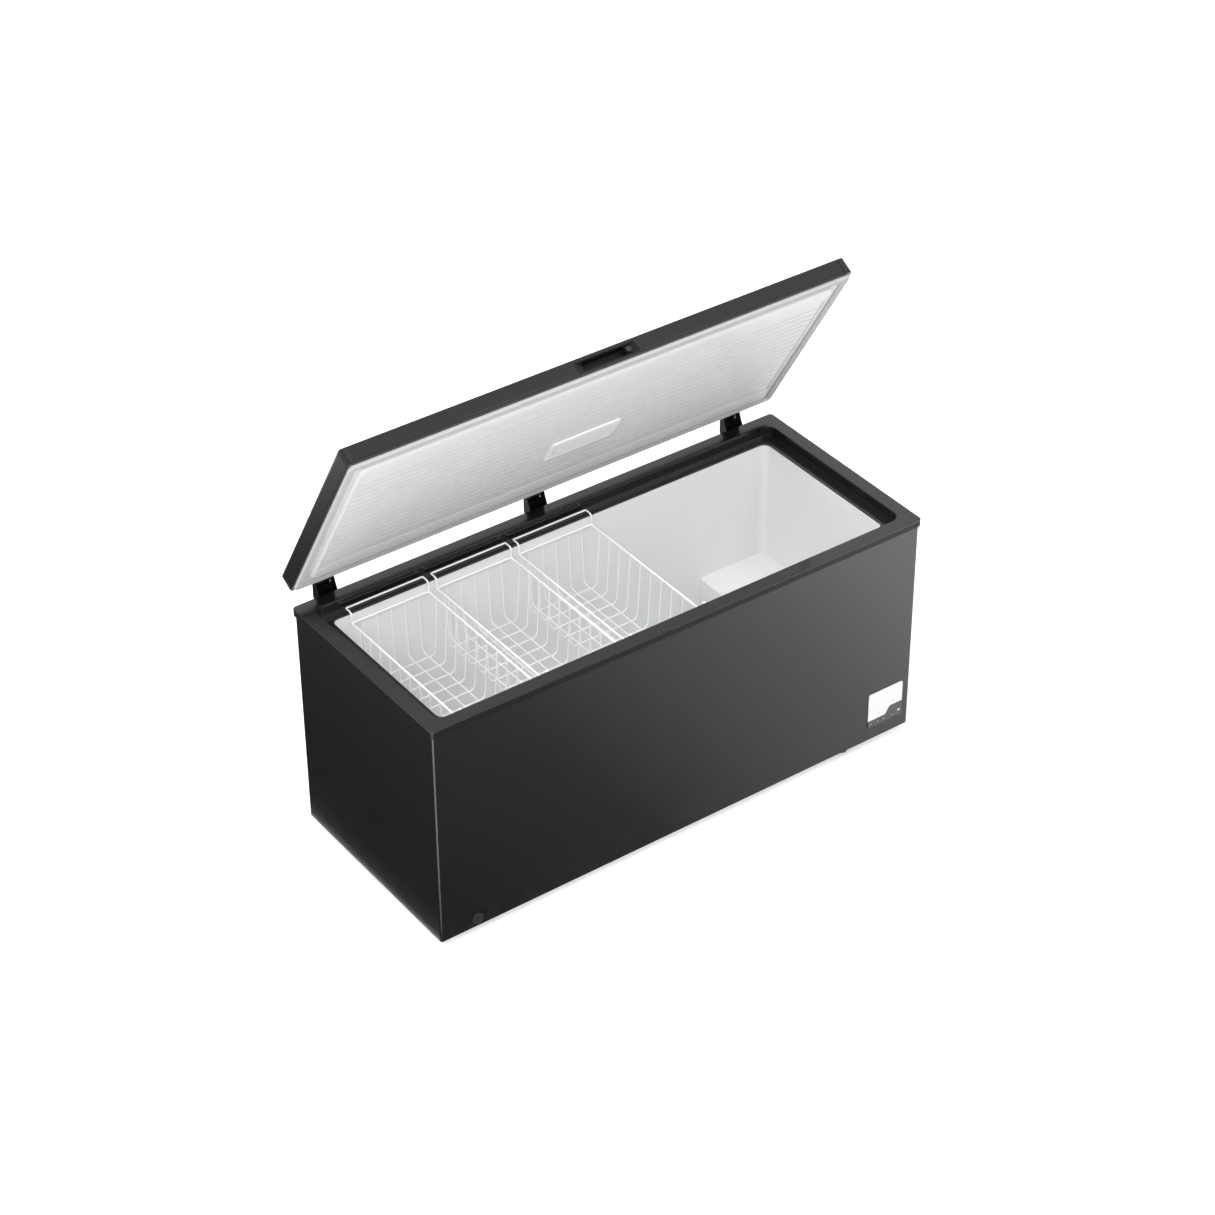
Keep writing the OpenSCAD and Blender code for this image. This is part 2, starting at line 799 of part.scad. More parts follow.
module roller() {
    translate([-roller_w / 2, 0, 0]) rotate([0, 90, 0]) difference() {
        cylinder(h = roller_w, r = roller_r);
        translate([0, 0, -1]) cylinder(h = roller_w + 2, r = axle_r + roller_fit);
        translate([0, 0, roller_w - 3]) difference() {
            cylinder(h = 4, r = roller_r - 3);
            cylinder(h = 4, r = axle_r + 3);
        }
    }
}

module roller_left() {
    color("#1a1a1a") in_cabinet()
        translate([-(body_w / 2 - roller_in), body_d / 2 - roller_back, roller_r]) roller();
}

module roller_right() {
    color("#1a1a1a") in_cabinet()
        translate([body_w / 2 - roller_in, body_d / 2 - roller_back, roller_r]) roller();
}

// ---- hinges ----

// Side view of a cabinet bracket's cheek, as depth and height from the rim's top face.
module cheek_outline() {
    y0 = body_d / 2 + leaf_t;
    polygon([[y0 - 1, -leaf_bottom], [y0 + 10, -leaf_bottom], [hinge_y + knuckle_r, -leaf_top],
             [hinge_y + knuckle_r, hinge_up], [hinge_y - knuckle_r, hinge_up],
             [hinge_y - knuckle_r - 8, 2], [y0 + 8, -leaf_top], [y0 - 1, -leaf_top]]);
    translate([hinge_y, hinge_up]) circle(knuckle_r);
}

// Turns a depth-and-height outline into a plate at x, t thick.
module side_plate(x, t) {
    translate([x, 0, z_rim]) rotate([90, 0, 90]) linear_extrude(t) children();
}

module hinge_bracket() {
    w = hinge_w / 2;
    difference() {
        union() {
            translate([-w, body_d / 2, z_rim - leaf_bottom])
                cube([hinge_w, leaf_t, leaf_bottom - leaf_top]);
            side_plate(-w, cheek_t) cheek_outline();
            side_plate(w - cheek_t, cheek_t) cheek_outline();
            translate([-w + 1, hinge_y - knuckle_r - 7, z_rim - leaf_top - 10])
                cube([hinge_w - 2, 2, leaf_top + 18]);
            translate([-w + 1, body_d / 2 + 1, z_rim - leaf_bottom]) cube([hinge_w - 2, 11, 3]);
        }
        translate([-50, hinge_y, hinge_z]) rotate([0, 90, 0]) cylinder(h = 100, r = pin_r);
    }
}

module hinge_brackets() {
    color("#101112") in_cabinet() difference() {
        for (x = hinges) translate([x, 0, 0]) hinge_bracket();
        hinge_screw_holes(screw_r);
    }
}

module hinge_pins() {
    color("#a5a9ad") in_cabinet()
        for (x = hinges) translate([x - hinge_w / 2 - 1.5, hinge_y, hinge_z]) rotate([0, 90, 0])
            cylinder(h = hinge_w + 3, r = pin_r - 0.01);
}

// A wire wound along +Z: turns turns of radius r, rising h, as one closed skin.
module coil(r, wire, h, turns) {
    sides = 5;
    steps = turns * 9;
    points = [for (i = [0 : steps], k = [0 : sides - 1])
        let (a = 360 * turns * i / steps, b = 360 * k / sides, q = r + wire * cos(b))
        [q * cos(a), q * sin(a), h * i / steps + wire * sin(b)]];
    skin = [for (i = [0 : steps - 1], k = [0 : sides - 1], half = [0, 1])
        let (low = i * sides + k, next = i * sides + (k + 1) % sides)
        half == 0 ? [low, next, next + sides] : [low, next + sides, low + sides]];
    ends = [[for (k = [sides - 1 : -1 : 0]) k], [for (k = [0 : sides - 1]) steps * sides + k]];
    polyhedron(points, concat(skin, ends), convexity = 10);
}

module hinge_springs() {
    wire = 1.4;
    color("#8d9296") in_cabinet()
        for (x = hinges)
            translate([x, body_d / 2 + leaf_t + 7.2, z_rim - leaf_bottom + 3 + wire + 0.1])
                coil(5, wire, 92, 7);
}

module hinge_screws() {
    color("#b9bdc1") in_cabinet()
        for (x = hinges, z = leaf_screws, s = [-1, 1])
            translate([x + s * (hinge_w / 2 - cheek_t - 10), body_d / 2 + leaf_t, z_rim + z])
                rotate([90, 0, 0]) {
                    cylinder(h = screw_l, r = screw_r - 0.02);
                    translate([0, 0, -2]) cylinder(h = 2, r = 4);
                }
}

// ---- lid, drawn shut ----

module lid_skin() {
    color("#2e3032") in_lid() difference() {
        slab(lid_w, lid_d, lid_r, z_skirt, z_top);
        slab(lid_w - 2 * lid_skin_t, lid_d - 2 * lid_skin_t, lid_r - lid_skin_t,
             z_skirt - 1, z_top - lid_skin_t);
        translate([-handle_w / 2, -lid_d, handle_z - handle_h / 2])
            cube([handle_w, lid_d, handle_h]);
        lid_screw_holes(screw_r);
    }
}

module lid_foam() {
    color("#e6d9a8") in_lid() difference() {
        slab(lid_w - 2 * lid_skin_t, lid_d - 2 * lid_skin_t, lid_r - lid_skin_t,
             z_skirt + lid_liner_t, z_top - lid_skin_t);
        translate([-handle_w / 2 - 1, -lid_d, z_skirt]) cube([handle_w + 2, lid_d / 2 + handle_d + 22,
                                                              lid_h - 4]);
        lid_screw_holes(screw_r);
        translate([lamp_x - lamp_w / 2 + 8, lamp_y - lamp_d / 2 + 8, z_skirt - 1])
            cube([lamp_w - 16, lamp_d - 16, 12]);
    }
}

// White liner: a flat margin that carries the gasket and a raised strip round a shallow field.
module lid_liner() {
    w = lid_w - 2 * plug_inset;
    d = lid_d - 2 * plug_inset;
    r = 24;
    field = plug_drop - 4;
    color("#eef1f3") in_lid() difference() {
        union() {
            slab(lid_w - 2 * lid_skin_t, lid_d - 2 * lid_skin_t, lid_r - lid_skin_t,
                 z_skirt, z_skirt + lid_liner_t);
            slab(w, d, r, z_skirt - plug_drop, z_skirt + lid_liner_t / 2);
        }
        slab(w - 2 * plug_strip, d - 2 * plug_strip, r, z_skirt - plug_drop - 1,
             z_skirt - plug_drop + 4);
        slab(w - 2 * lid_liner_t, d - 2 * lid_liner_t, r - lid_liner_t,
             z_skirt - field + lid_liner_t, z_skirt + lid_liner_t + 1);
        translate([lamp_x - lamp_w / 2 + 8, lamp_y - lamp_d / 2 + 8, z_skirt - 20])
            cube([lamp_w - 16, lamp_d - 16, 40]);
    }
}

module lid_gasket() {
    color("#f2f2f0") in_lid() difference() {
        frame_ring(gasket_mid_w + gasket_w, gasket_mid_d + gasket_w, 16, gasket_w,
                   z_rim + gasket_fit, z_skirt);
        frame_ring(gasket_mid_w + 6, gasket_mid_d + 6, 12, 3, z_rim, z_rim + 3);
    }
}

module lid_handle() {
    color("#1c1d1f") in_lid() difference() {
        translate([-handle_w / 2, -lid_d / 2, handle_z - handle_h / 2])
            cube([handle_w, handle_d, handle_h]);
        translate([-handle_w / 2 + grip_in, -lid_d / 2 - 1, handle_z - grip_h / 2])
            cube([grip_w, grip_d + 1, grip_h]);
        translate([lock_x, -lid_d / 2 - 1, handle_z]) rotate([-90, 0, 0])
            cylinder(h = handle_d + 2, r = lock_r + lock_fit);
    }
}

module lock_barrel() {
    color("#b4b8bb") in_lid() translate([lock_x, -lid_d / 2, handle_z]) rotate([-90, 0, 0])
        difference() {
            translate([0, 0, 0.5]) cylinder(h = handle_d + 5, r = lock_r);
            translate([-0.8, -lock_r + 2, 0]) cube([1.6, 2 * lock_r - 4, 8]);
        }
}

module lock_cam() {
    color("#8f9396") in_lid()
        translate([lock_x, -lid_d / 2 + handle_d + 5.5, handle_z]) rotate([-90, 0, 0]) union() {
            cylinder(h = 3, r = lock_r);
            translate([-20, -4, 0]) cube([20, 8, 3]);
        }
}

// Corner pieces stand a little proud of the ends and of the front, not of the back.
module lid_corner_caps() {
    proud = 1.5;
    size = 14;
    color("#1b1c1e") in_lid()
        for (sx = [-1, 1], sy = [-1, 1])
            translate([sx * lid_w / 2, sy * lid_d / 2, z_skirt + 4]) scale([sx, sy, 1]) {
                translate([0, -lid_r - size, 0]) cube([proud, size, lid_h - 8]);
                if (sy < 0) translate([-lid_r - size, 0, 0]) cube([size, proud, lid_h - 8]);
            }
}

module lid_screw_holes(r) {
    for (x = hinges, s = [-1, 1])
        translate([x + s * (hinge_w / 2 - cheek_t - 12), lid_d / 2 + leaf_t, z_top - 12])
            rotate([90, 0, 0]) cylinder(h = screw_l, r = r);
}

module hinge_lid_arm() {
    w = hinge_w / 2 - cheek_t - 1;
    difference() {
        union() {
            translate([-w, lid_d / 2, z_skirt + 3]) cube([2 * w, leaf_t, lid_h - 6]);
            side_plate(-w, 2 * w) union() {
                polygon([[lid_d / 2 + 1, hinge_up - 3], [hinge_y, hinge_up - knuckle_r],
                         [hinge_y + 2, hinge_up + knuckle_r - 1],
                         [lid_d / 2 + 1, hinge_up + 12]]);
                translate([hinge_y, hinge_up]) circle(knuckle_r);
            }
        }
        translate([-60, hinge_y, hinge_z]) rotate([0, 90, 0])
            cylinder(h = 120, r = pin_r + pin_fit);
    }
}

module hinge_lid_arms() {
    color("#141516") in_lid() difference() {
        for (x = hinges) translate([x, 0, 0]) hinge_lid_arm();
        lid_screw_holes(screw_r);
    }
}

module lid_arm_screws() {
    color("#b9bdc1") in_lid()
        for (x = hinges, s = [-1, 1])
            translate([x + s * (hinge_w / 2 - cheek_t - 12), lid_d / 2 + leaf_t, z_top - 12])
                rotate([90, 0, 0]) {
                    cylinder(h = screw_l, r = screw_r - 0.02);
                    translate([0, 0, -2]) cylinder(h = 2, r = 4);
                }
}

module lamp_cover() {
    field = z_skirt - plug_drop + 4;
    color("#dfe6ea") in_lid() translate([lamp_x, lamp_y, 0]) difference() {
        slab(lamp_w, lamp_d, 8, field - lamp_t, field);
        slab(lamp_w - 5, lamp_d - 5, 6, field - lamp_t + 2, field + 1);
    }
}

module lamp_board() {
    field = z_skirt - plug_drop + 4;
    color("#f0f0e0") in_lid() translate([lamp_x, lamp_y, field]) union() {
        translate([-80, -14, 2]) cube([170, 28, 1.6]);
        for (i = [0 : 5]) translate([-70 + i * 28, -3, 0.8]) cube([5, 5, 1.2]);
    }
}

module lamp_switch() {
    field = z_skirt - plug_drop + 4;
    color("#303236") in_lid() translate([lamp_x - lamp_w / 2 + 20, lamp_y, field + 2])
        rotate([90, 0, 0]) translate([0, 2, -9]) cylinder(h = 18, r = 3.5);
}

// ---- baskets ----

// A flat grid: n bars along v spaced by pitch, closed by a bar at each end of their length.
module grid(w, h, n, pitch) {
    for (i = [0 : n - 1])
        translate([(i - (n - 1) / 2) * pitch - mesh_wire / 2, 0]) square([mesh_wire, h]);
    for (v = [0, h - mesh_wire]) translate([-w / 2, v]) square([w, mesh_wire]);
}

module basket(x) {
    w = basket_w - frame_wire;
    d = basket_d - frame_wire;
    tilt = atan(basket_lean / basket_h);
    long = basket_h / cos(tilt);
    in_cabinet() translate([x, 0, 0]) union() {
        frame_ring(basket_w, basket_d, 8, frame_wire, z_frame - frame_wire / 2,
                   z_frame + frame_wire / 2);
        for (s = [-1, 1]) {
            translate([s * mesh_w / 2, 0, z_basket]) rotate([0, s * tilt, 0]) rotate([90, 0, 90])
                translate([0, 0, -mesh_wire / 2]) linear_extrude(mesh_wire)
                    grid(mesh_d, long, cross_wires, cross_pitch);
            translate([0, s * mesh_d / 2, z_basket]) rotate([-s * tilt, 0, 0]) rotate([90, 0, 0])
                translate([0, 0, -mesh_wire / 2]) linear_extrude(mesh_wire)
                    grid(mesh_w, long, long_wires, long_pitch);
            for (sx = [-1, 1])
                translate([sx * w / 2 - frame_wire / 2, s * d / 2 - frame_wire / 2, z_frame])
                    cube([frame_wire, frame_wire, hanger_h + frame_wire / 2]);
            for (sx = [-1, 1])
                translate([sx * w / 2 - frame_wire / 2,
                           s > 0 ? d / 2 : -hanger_y - frame_wire / 2,
                           z_hanger - frame_wire / 2])
                    cube([frame_wire, hanger_y + frame_wire / 2 - d / 2, frame_wire]);
            translate([-basket_w / 2, s * hanger_y - frame_wire / 2, z_hanger - frame_wire / 2])
                cube([basket_w, frame_wire, frame_wire]);
        }
        translate([0, 0, z_basket - mesh_wire / 2]) linear_extrude(mesh_wire) {
            for (i = [0 : cross_wires - 1])
                translate([-mesh_w / 2, (i - (cross_wires - 1) / 2) * cross_pitch - mesh_wire / 2])
                    square([mesh_w, mesh_wire]);
            for (i = [0 : long_wires - 1])
                translate([(i - (long_wires - 1) / 2) * long_pitch - mesh_wire / 2, -mesh_d / 2])
                    square([mesh_wire, mesh_d]);
            for (s = [-1, 1]) {
                translate([s * mesh_w / 2 - mesh_wire / 2, -mesh_d / 2]) square([mesh_wire, mesh_d]);
                translate([-mesh_w / 2, s * mesh_d / 2 - mesh_wire / 2]) square([mesh_w, mesh_wire]);
            }
        }
    }
}

module basket_left() {
    color("white") basket(basket_x[0]);
}

module basket_middle() {
    color("white") basket(basket_x[1]);
}

module basket_right() {
    color("white") basket(basket_x[2]);
}

outer_wrap();
back_panel();
base_pan();
cabinet_foam();
inner_liner();
rim_collar();
evaporator_coil();
condenser_coil();
bay_bulkhead();
compressor_tray();
compressor_shell();
compressor_grommets();
start_relay();
filter_drier();
suction_line();
discharge_line();
capillary_tube();
terminal_box();
cord_gland();
side_grille();
thermostat_bulb_sleeve();
panel_fascia();
panel_window();
control_board();
indicator_lights();
panel_key();
drain_tube();
drain_cap();
drain_stopper();
front_feet();
roller_brackets();
roller_left();
roller_right();
hinge_brackets();
hinge_pins();
hinge_springs();
hinge_screws();
lid_skin();
lid_foam();
lid_liner();
lid_gasket();
lid_handle();
lid_corner_caps();
hinge_lid_arms();
lid_arm_screws();
lock_barrel();
lock_cam();
lamp_cover();
lamp_board();
lamp_switch();
basket_left();
basket_middle();
basket_right();
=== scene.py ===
"""Looks of a black chest freezer with its lid open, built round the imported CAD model.

Everything is in metres, with the floor at z 0 and the front towards -Y. Pieces of the lid are
built with the lid shut and then swung open about the hinge line.
"""
import sys

import json
import logging
import math
from dataclasses import dataclass, replace
from enum import Enum
from functools import lru_cache
from typing import Any, Mapping, Sequence, Union

import bmesh
import bpy
from mathutils import Matrix, Vector


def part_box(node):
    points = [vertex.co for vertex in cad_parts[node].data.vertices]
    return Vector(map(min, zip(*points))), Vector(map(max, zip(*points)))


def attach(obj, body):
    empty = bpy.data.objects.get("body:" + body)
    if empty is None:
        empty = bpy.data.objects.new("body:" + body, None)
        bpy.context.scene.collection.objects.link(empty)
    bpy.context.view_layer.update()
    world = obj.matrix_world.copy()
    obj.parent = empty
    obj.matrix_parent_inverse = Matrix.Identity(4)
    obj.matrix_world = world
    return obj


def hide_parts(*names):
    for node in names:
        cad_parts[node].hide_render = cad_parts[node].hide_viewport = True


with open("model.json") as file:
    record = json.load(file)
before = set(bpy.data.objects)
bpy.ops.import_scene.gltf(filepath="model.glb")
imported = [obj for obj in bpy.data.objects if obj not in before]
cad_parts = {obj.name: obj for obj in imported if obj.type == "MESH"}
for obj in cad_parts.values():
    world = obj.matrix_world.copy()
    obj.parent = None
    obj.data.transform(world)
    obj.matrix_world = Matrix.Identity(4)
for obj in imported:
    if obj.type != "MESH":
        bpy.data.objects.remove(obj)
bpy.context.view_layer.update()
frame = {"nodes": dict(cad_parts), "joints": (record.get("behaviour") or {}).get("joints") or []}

MM = 0.001
MERGE = 1e-6
NEAR = 1e-5
SHARP_TURN = math.radians(35)
BEVEL_TURN = math.radians(32)
LOG = logging.getLogger("freezer")
Point = Sequence[float]
Color = tuple[float, float, float]


class Body(Enum):
    """The moving bodies that pieces ride on."""

    CABINET = "cabinet"
    LID = "lid"
    KEY = "key"
    DRAIN_CAP = "drain_cap"
    BASKET_LEFT = "basket_left"
    BASKET_MIDDLE = "basket_middle"
    BASKET_RIGHT = "basket_right"


# ---- shader maths ----


class Level:
    """A number that varies over a surface, with Python's operators as Math nodes."""

    def __init__(self, recipe: "Recipe", socket: bpy.types.NodeSocket) -> None:
        """Wraps a socket.

        Args:
            recipe: The material's nodes.
            socket: The output that gives the number.
        """
        self.recipe = recipe
        self.socket = socket

    def _with(self, operation: str, first: "Number", second: "Number") -> "Level":
        """Adds one Math node.

        Args:
            operation: The Math node's operation.
            first: Its first value.
            second: Its second value.

        Returns:
            The node's result.
        """
        made = self.recipe.node("ShaderNodeMath", {"operation": operation}, {0: first, 1: second})
        return Level(self.recipe, made.outputs[0])

    def __add__(self, other: "Number") -> "Level":
        """This plus other."""
        return self._with("ADD", self, other)

    def __radd__(self, other: "Number") -> "Level":
        """Other plus this."""
        return self._with("ADD", other, self)

    def __sub__(self, other: "Number") -> "Level":
        """This minus other."""
        return self._with("SUBTRACT", self, other)

    def __rsub__(self, other: "Number") -> "Level":
        """Other minus this."""
        return self._with("SUBTRACT", other, self)

    def __mul__(self, other: "Number") -> "Level":
        """This times other."""
        return self._with("MULTIPLY", self, other)

    def __rmul__(self, other: "Number") -> "Level":
        """Other times this."""
        return self._with("MULTIPLY", other, self)

    def between(self, low: float, high: float) -> "Level":
        """0 below low, 1 above high, and straight between them."""
        made = self.recipe.node("ShaderNodeMapRange", {"clamp": True},
                                {"Value": self, "From Min": low, "From Max": high})
        return Level(self.recipe, made.outputs[0])


Number = Union[Level, float]


class Recipe:
    """The nodes of one material."""

    def __init__(self, name: str) -> None:
        """Starts an empty material.

        Args:
            name: The material's name.
        """
        self.material = bpy.data.materials.new(name)
        self.material.use_nodes = True
        self.tree = self.material.node_tree
        self.tree.nodes.clear()
        self._place: bpy.types.NodeSocket | None = None

    def node(self, kind: str, settings: Mapping[str, Any] | None = None,
             values: Mapping[Any, Any] | None = None) -> bpy.types.Node:
        """Adds a node.

        Args:
            kind: The node's type.
            settings: Its own settings, set first; "stops" are a ramp's stops.
            values: Values or links, by input.

        Returns:
            The node.
        """
        made = self.tree.nodes.new(kind)
        for key, value in (settings or {}).items():
            if key == "stops":
                for spot, (position, color) in zip(self._stops(made, len(value)), value):
                    spot.position = position
                    spot.color = (*color, 1.0)
            else:
                setattr(made, key, value)
        for key, value in (values or {}).items():
            if isinstance(value, Level):
                self.tree.links.new(value.socket, made.inputs[key])
            elif isinstance(value, bpy.types.NodeSocket):
                self.tree.links.new(value, made.inputs[key])
            else:
                made.inputs[key].default_value = value
        return made

    @staticmethod
    def _stops(ramp: bpy.types.Node, count: int) -> list[Any]:
        """The ramp's stops, with as many as count."""
        while len(ramp.color_ramp.elements) < count:
            ramp.color_ramp.elements.new(1.0)
        return list(ramp.color_ramp.elements)

    def place(self, stretch: Point = (1.0, 1.0, 1.0)) -> bpy.types.NodeSocket:
        """The spot on the object, each axis times its stretch."""
        if self._place is None:
            self._place = self.node("ShaderNodeTexCoord").outputs["Object"]
        if tuple(stretch) == (1.0, 1.0, 1.0):
            return self._place
        return self.node("ShaderNodeMapping", {},
                         {"Vector": self._place, "Scale": stretch}).outputs[0]

    def noise(self, scale: float, detail: float = 2.0, stretch: Point = (1.0, 1.0, 1.0)) -> Level:
        """Soft noise.

        Args:
            scale: Blotches to the metre.
            detail: Octaves of finer noise.
            stretch: Scale of each axis.

        Returns:
            The noise, about 0 to 1.
        """
        made = self.node("ShaderNodeTexNoise", {"noise_dimensions": "3D"},
                         {"Vector": self.place(stretch), "Scale": scale, "Detail": detail})
        return Level(self, made.outputs["Fac"])

    def cells(self, scale: float, stretch: Point = (1.0, 1.0, 1.0)) -> Level:
        """Distance from the middles of random cells, scale of them to the metre."""
        made = self.node("ShaderNodeTexVoronoi", {"feature": "SMOOTH_F1"},
                         {"Vector": self.place(stretch), "Scale": scale, "Smoothness": 0.6})
        return Level(self, made.outputs["Distance"])

    def axis(self, which: int) -> Level:
        """The spot's x, y or z, in metres."""
        made = self.node("ShaderNodeSeparateXYZ", {}, {0: self.place()})
        return Level(self, made.outputs[which])

    def mix(self, share: Number, first: Any, second: Any) -> bpy.types.NodeSocket:
        """A blend of two colours.

        Args:
            share: How much of the second.
            first: A colour or its socket.
            second: A colour or its socket.

        Returns:
            The colour's socket.
        """
        sides = [c if isinstance(c, bpy.types.NodeSocket) else (*c, 1.0) for c in (first, second)]
        made = self.node("ShaderNodeMix", {"data_type": "RGBA"},
                         {0: share, 6: sides[0], 7: sides[1]})
        return made.outputs[2]


# ---- finishes ----


@dataclass(frozen=True)
class Finish:
    """A surface: colour and gloss, how both drift, and fine grain."""

    name: str
    color: Color
    roughness: float
    metallic: float = 0.0
    coat: float = 0.0
    specular: float = 0.5
    drift: float = 0.12
    drift_scale: float = 2.5
    smudge: float = 0.08
    smudge_scale: float = 9.0
    grain: float = 0.02 * MM
    grain_scale: float = 700.0
    translucency: float = 0.0

    def paint(self, recipe: Recipe) -> Any:
        """The base colour, with a slow drift.

        Args:
            recipe: The material's nodes.

        Returns:
            The colour's socket.
        """
        share = recipe.noise(self.drift_scale, 3.0).between(0.1, 0.9)
        low = tuple(c * (1 - self.drift) for c in self.color)
        high = tuple(min(c * (1 + self.drift), 1.0) for c in self.color)
        return recipe.mix(share, low, high)

    def gloss(self, recipe: Recipe) -> Number:
        """The roughness, with handling marks."""
        marks = recipe.noise(self.smudge_scale, 4.0).between(0.1, 0.9)
        return marks * self.smudge + self.roughness

    def relief(self, recipe: Recipe) -> Level:
        """The height of the grain, 0 to 1."""
        return recipe.noise(self.grain_scale, 1.0)

    def shine(self) -> Mapping[str, float]:
        """Constants for the shader's own sockets."""
        return {"Metallic": self.metallic, "Coat Weight": self.coat, "Coat Roughness": 0.06,
                "Specular IOR Level": self.specular, "Transmission Weight": self.translucency}

    @lru_cache(maxsize=None)
    def material(self) -> bpy.types.Material:
        """The material, made once."""
        recipe = Recipe(self.name)
        bump = recipe.node("ShaderNodeBump", {}, {"Height": self.relief(recipe), "Strength": 1.0,
                                                 "Distance": self.grain})
        shader = recipe.node("ShaderNodeBsdfPrincipled", {}, {
            "Base Color": self.paint(recipe), "Roughness": self.gloss(recipe),
            "Normal": bump.outputs[0], **self.shine()})
        recipe.node("ShaderNodeOutputMaterial", {}, {"Surface": shader.outputs[0]})
        recipe.material.diffuse_color = (*self.color, 1.0)
        return recipe.material


@dataclass(frozen=True)
class CoatedSteel(Finish):
    """Black sheet steel under a stippled paint film, a little dusty near the floor."""

    dust: Color = (0.16, 0.15, 0.14)
    dust_foot: float = 0.03
    dust_top: float = 0.16
    dust_scale: float = 26.0
    dust_share: float = 0.06
    peel_scale: float = 180.0

    def paint(self, recipe: Recipe) -> Any:
        """The film's black, with dust that thins out upwards."""
        low = 1 - recipe.axis(2).between(self.dust_foot, self.dust_top)
        share = low * recipe.noise(self.dust_scale, 5.0).between(0.45, 0.85) * self.dust_share
        return recipe.mix(share, super().paint(recipe), self.dust)

    def relief(self, recipe: Recipe) -> Level:
        """Orange peel over a finer stipple."""
        return recipe.cells(self.grain_scale) * 0.5 + recipe.noise(self.peel_scale, 2.0) * 0.5


@dataclass(frozen=True)
class GrainedPlastic(Finish):
    """Moulded plastic with a spark-eroded grain."""

    def relief(self, recipe: Recipe) -> Level:
        """Pits of the mould's grain."""
        return recipe.cells(self.grain_scale) * 0.7 + recipe.noise(2 * self.grain_scale, 2.0) * 0.3


@dataclass(frozen=True)
class LinerPlastic(Finish):
    """White vacuum-formed sheet: a silky skin with a faint frosty bloom."""

    frost: Color = (0.90, 0.91, 0.93)
    bloom: float = 0.3
    frost_scale: float = 7.0

    def paint(self, recipe: Recipe) -> Any:
        """White, with cool patches where the frost starts."""
        share = recipe.noise(self.frost_scale, 6.0).between(0.55, 0.85) * self.bloom
        return recipe.mix(share, super().paint(recipe), self.frost)

    def relief(self, recipe: Recipe) -> Level:
        """The sheet's silk."""
        return recipe.noise(self.grain_scale, 2.0)


@dataclass(frozen=True)
class DrawnMetal(Finish):
    """Bare metal with fine lines along one axis."""

    stretch: tuple[float, float, float] = (0.05, 1.0, 1.0)
    stain: Color = (0.2, 0.17, 0.14)
    stained: float = 0.3
    stain_scale: float = 40.0

    def paint(self, recipe: Recipe) -> Any:
        """The metal, dulled in patches."""
        share = recipe.noise(self.stain_scale, 5.0).between(0.55, 0.8) * self.stained
        return recipe.mix(share, super().paint(recipe), self.stain)

    def relief(self, recipe: Recipe) -> Level:
        """Drawing lines."""
        return recipe.noise(self.grain_scale, 3.0, self.stretch)


@dataclass(frozen=True)
class CircuitBoard(Finish):
    """Green solder resist over a maze of tracks."""

    track_scale: float = 120.0
    track_gap: float = 0.06

    def paint(self, recipe: Recipe) -> Any:
        """Tracks a little lighter than the board."""
        brick = recipe.node("ShaderNodeTexBrick", {"offset": 0.5}, {
            "Vector": recipe.place(), "Color1": (*self.color, 1.0), "Scale": self.track_scale,
            "Color2": (*(c * 0.7 for c in self.color), 1.0), "Mortar Size": self.track_gap,
            "Mortar": (*(min(c * 1.9, 1.0) for c in self.color), 1.0)})
        return brick.outputs["Color"]


FRONT_PAINT = CoatedSteel("black_coated_steel", (0.0075, 0.0078, 0.0085), 0.28, coat=0.35,
                          drift=0.03, smudge=0.01, smudge_scale=3.0, grain=0.0012 * MM)
LID_PAINT = replace(FRONT_PAINT, name="lid_coated_steel", color=(0.0065, 0.0068, 0.0075),
                    roughness=0.3, coat=0.25, specular=0.4)
BACK_PAINT = CoatedSteel("back_sheet", (0.03, 0.03, 0.032), 0.5, grain=0.02 * MM)
RIM_PLASTIC = GrainedPlastic("rim_plastic", (0.0075, 0.0075, 0.008), 0.16, coat=0.3, smudge=0.05,
                             grain=0.006 * MM, grain_scale=1100.0)
BAND_PLASTIC = GrainedPlastic("rim_band_plastic", (0.006, 0.006, 0.0065), 0.4, specular=0.28)
CAP_PLASTIC = GrainedPlastic("drain_cap_plastic", (0.022, 0.022, 0.023), 0.5)
# The handle insert's plastic is darker than the other black plastic: painted shade for its finger
# recess.
HANDLE_PAINTED_SHADE_PLASTIC = GrainedPlastic("handle_painted_shade_plastic", (0.004, 0.004, 0.0045), 0.35, specular=0.3)
BLACK_PLASTIC = GrainedPlastic("black_grained_plastic", (0.010, 0.010, 0.011), 0.42)
HINGE_PAINT = Finish("hinge_powder_coat", (0.0022, 0.0022, 0.0024), 0.45, specular=0.15,
                     grain=0.03 * MM)
LINER = LinerPlastic("white_liner", (0.80, 0.805, 0.81), 0.42, specular=0.3, drift=0.012,
                     grain=0.012 * MM, grain_scale=500.0)
LID_LINER = LinerPlastic("white_lid_liner", (0.64, 0.645, 0.65), 0.42, specular=0.3, drift=0.01,
                         bloom=0.1, smudge=0.04, grain=0.008 * MM, grain_scale=500.0)
# The ribs get a darker white than the lid liner: painted shade that stands for the shading along
# the ribs.
LID_RIBS_PAINTED_SHADE = LinerPlastic("lid_ribs_painted_shade", (0.53, 0.535, 0.54), 0.42, specular=0.3, drift=0.01,
                        bloom=0.05, grain=0.008 * MM, grain_scale=500.0)
GASKET = Finish("gasket_pvc", (0.47, 0.47, 0.465), 0.5, drift=0.04, drift_scale=14.0)
WIRE = Finish("white_coated_wire", (0.95, 0.955, 0.96), 0.3, coat=0.3, drift=0.02)
PANEL_WHITE = Finish("panel_white", (0.70, 0.705, 0.71), 0.16, coat=0.2, drift=0.01,
                     grain=0.004 * MM)
PANEL_DARK = Finish("panel_smoked", (0.035, 0.037, 0.042), 0.12, coat=0.6, drift=0.05,
                    grain=0.004 * MM)
PANEL_MARK = Finish("panel_mark", (0.36, 0.37, 0.39), 0.4, drift=0.02)
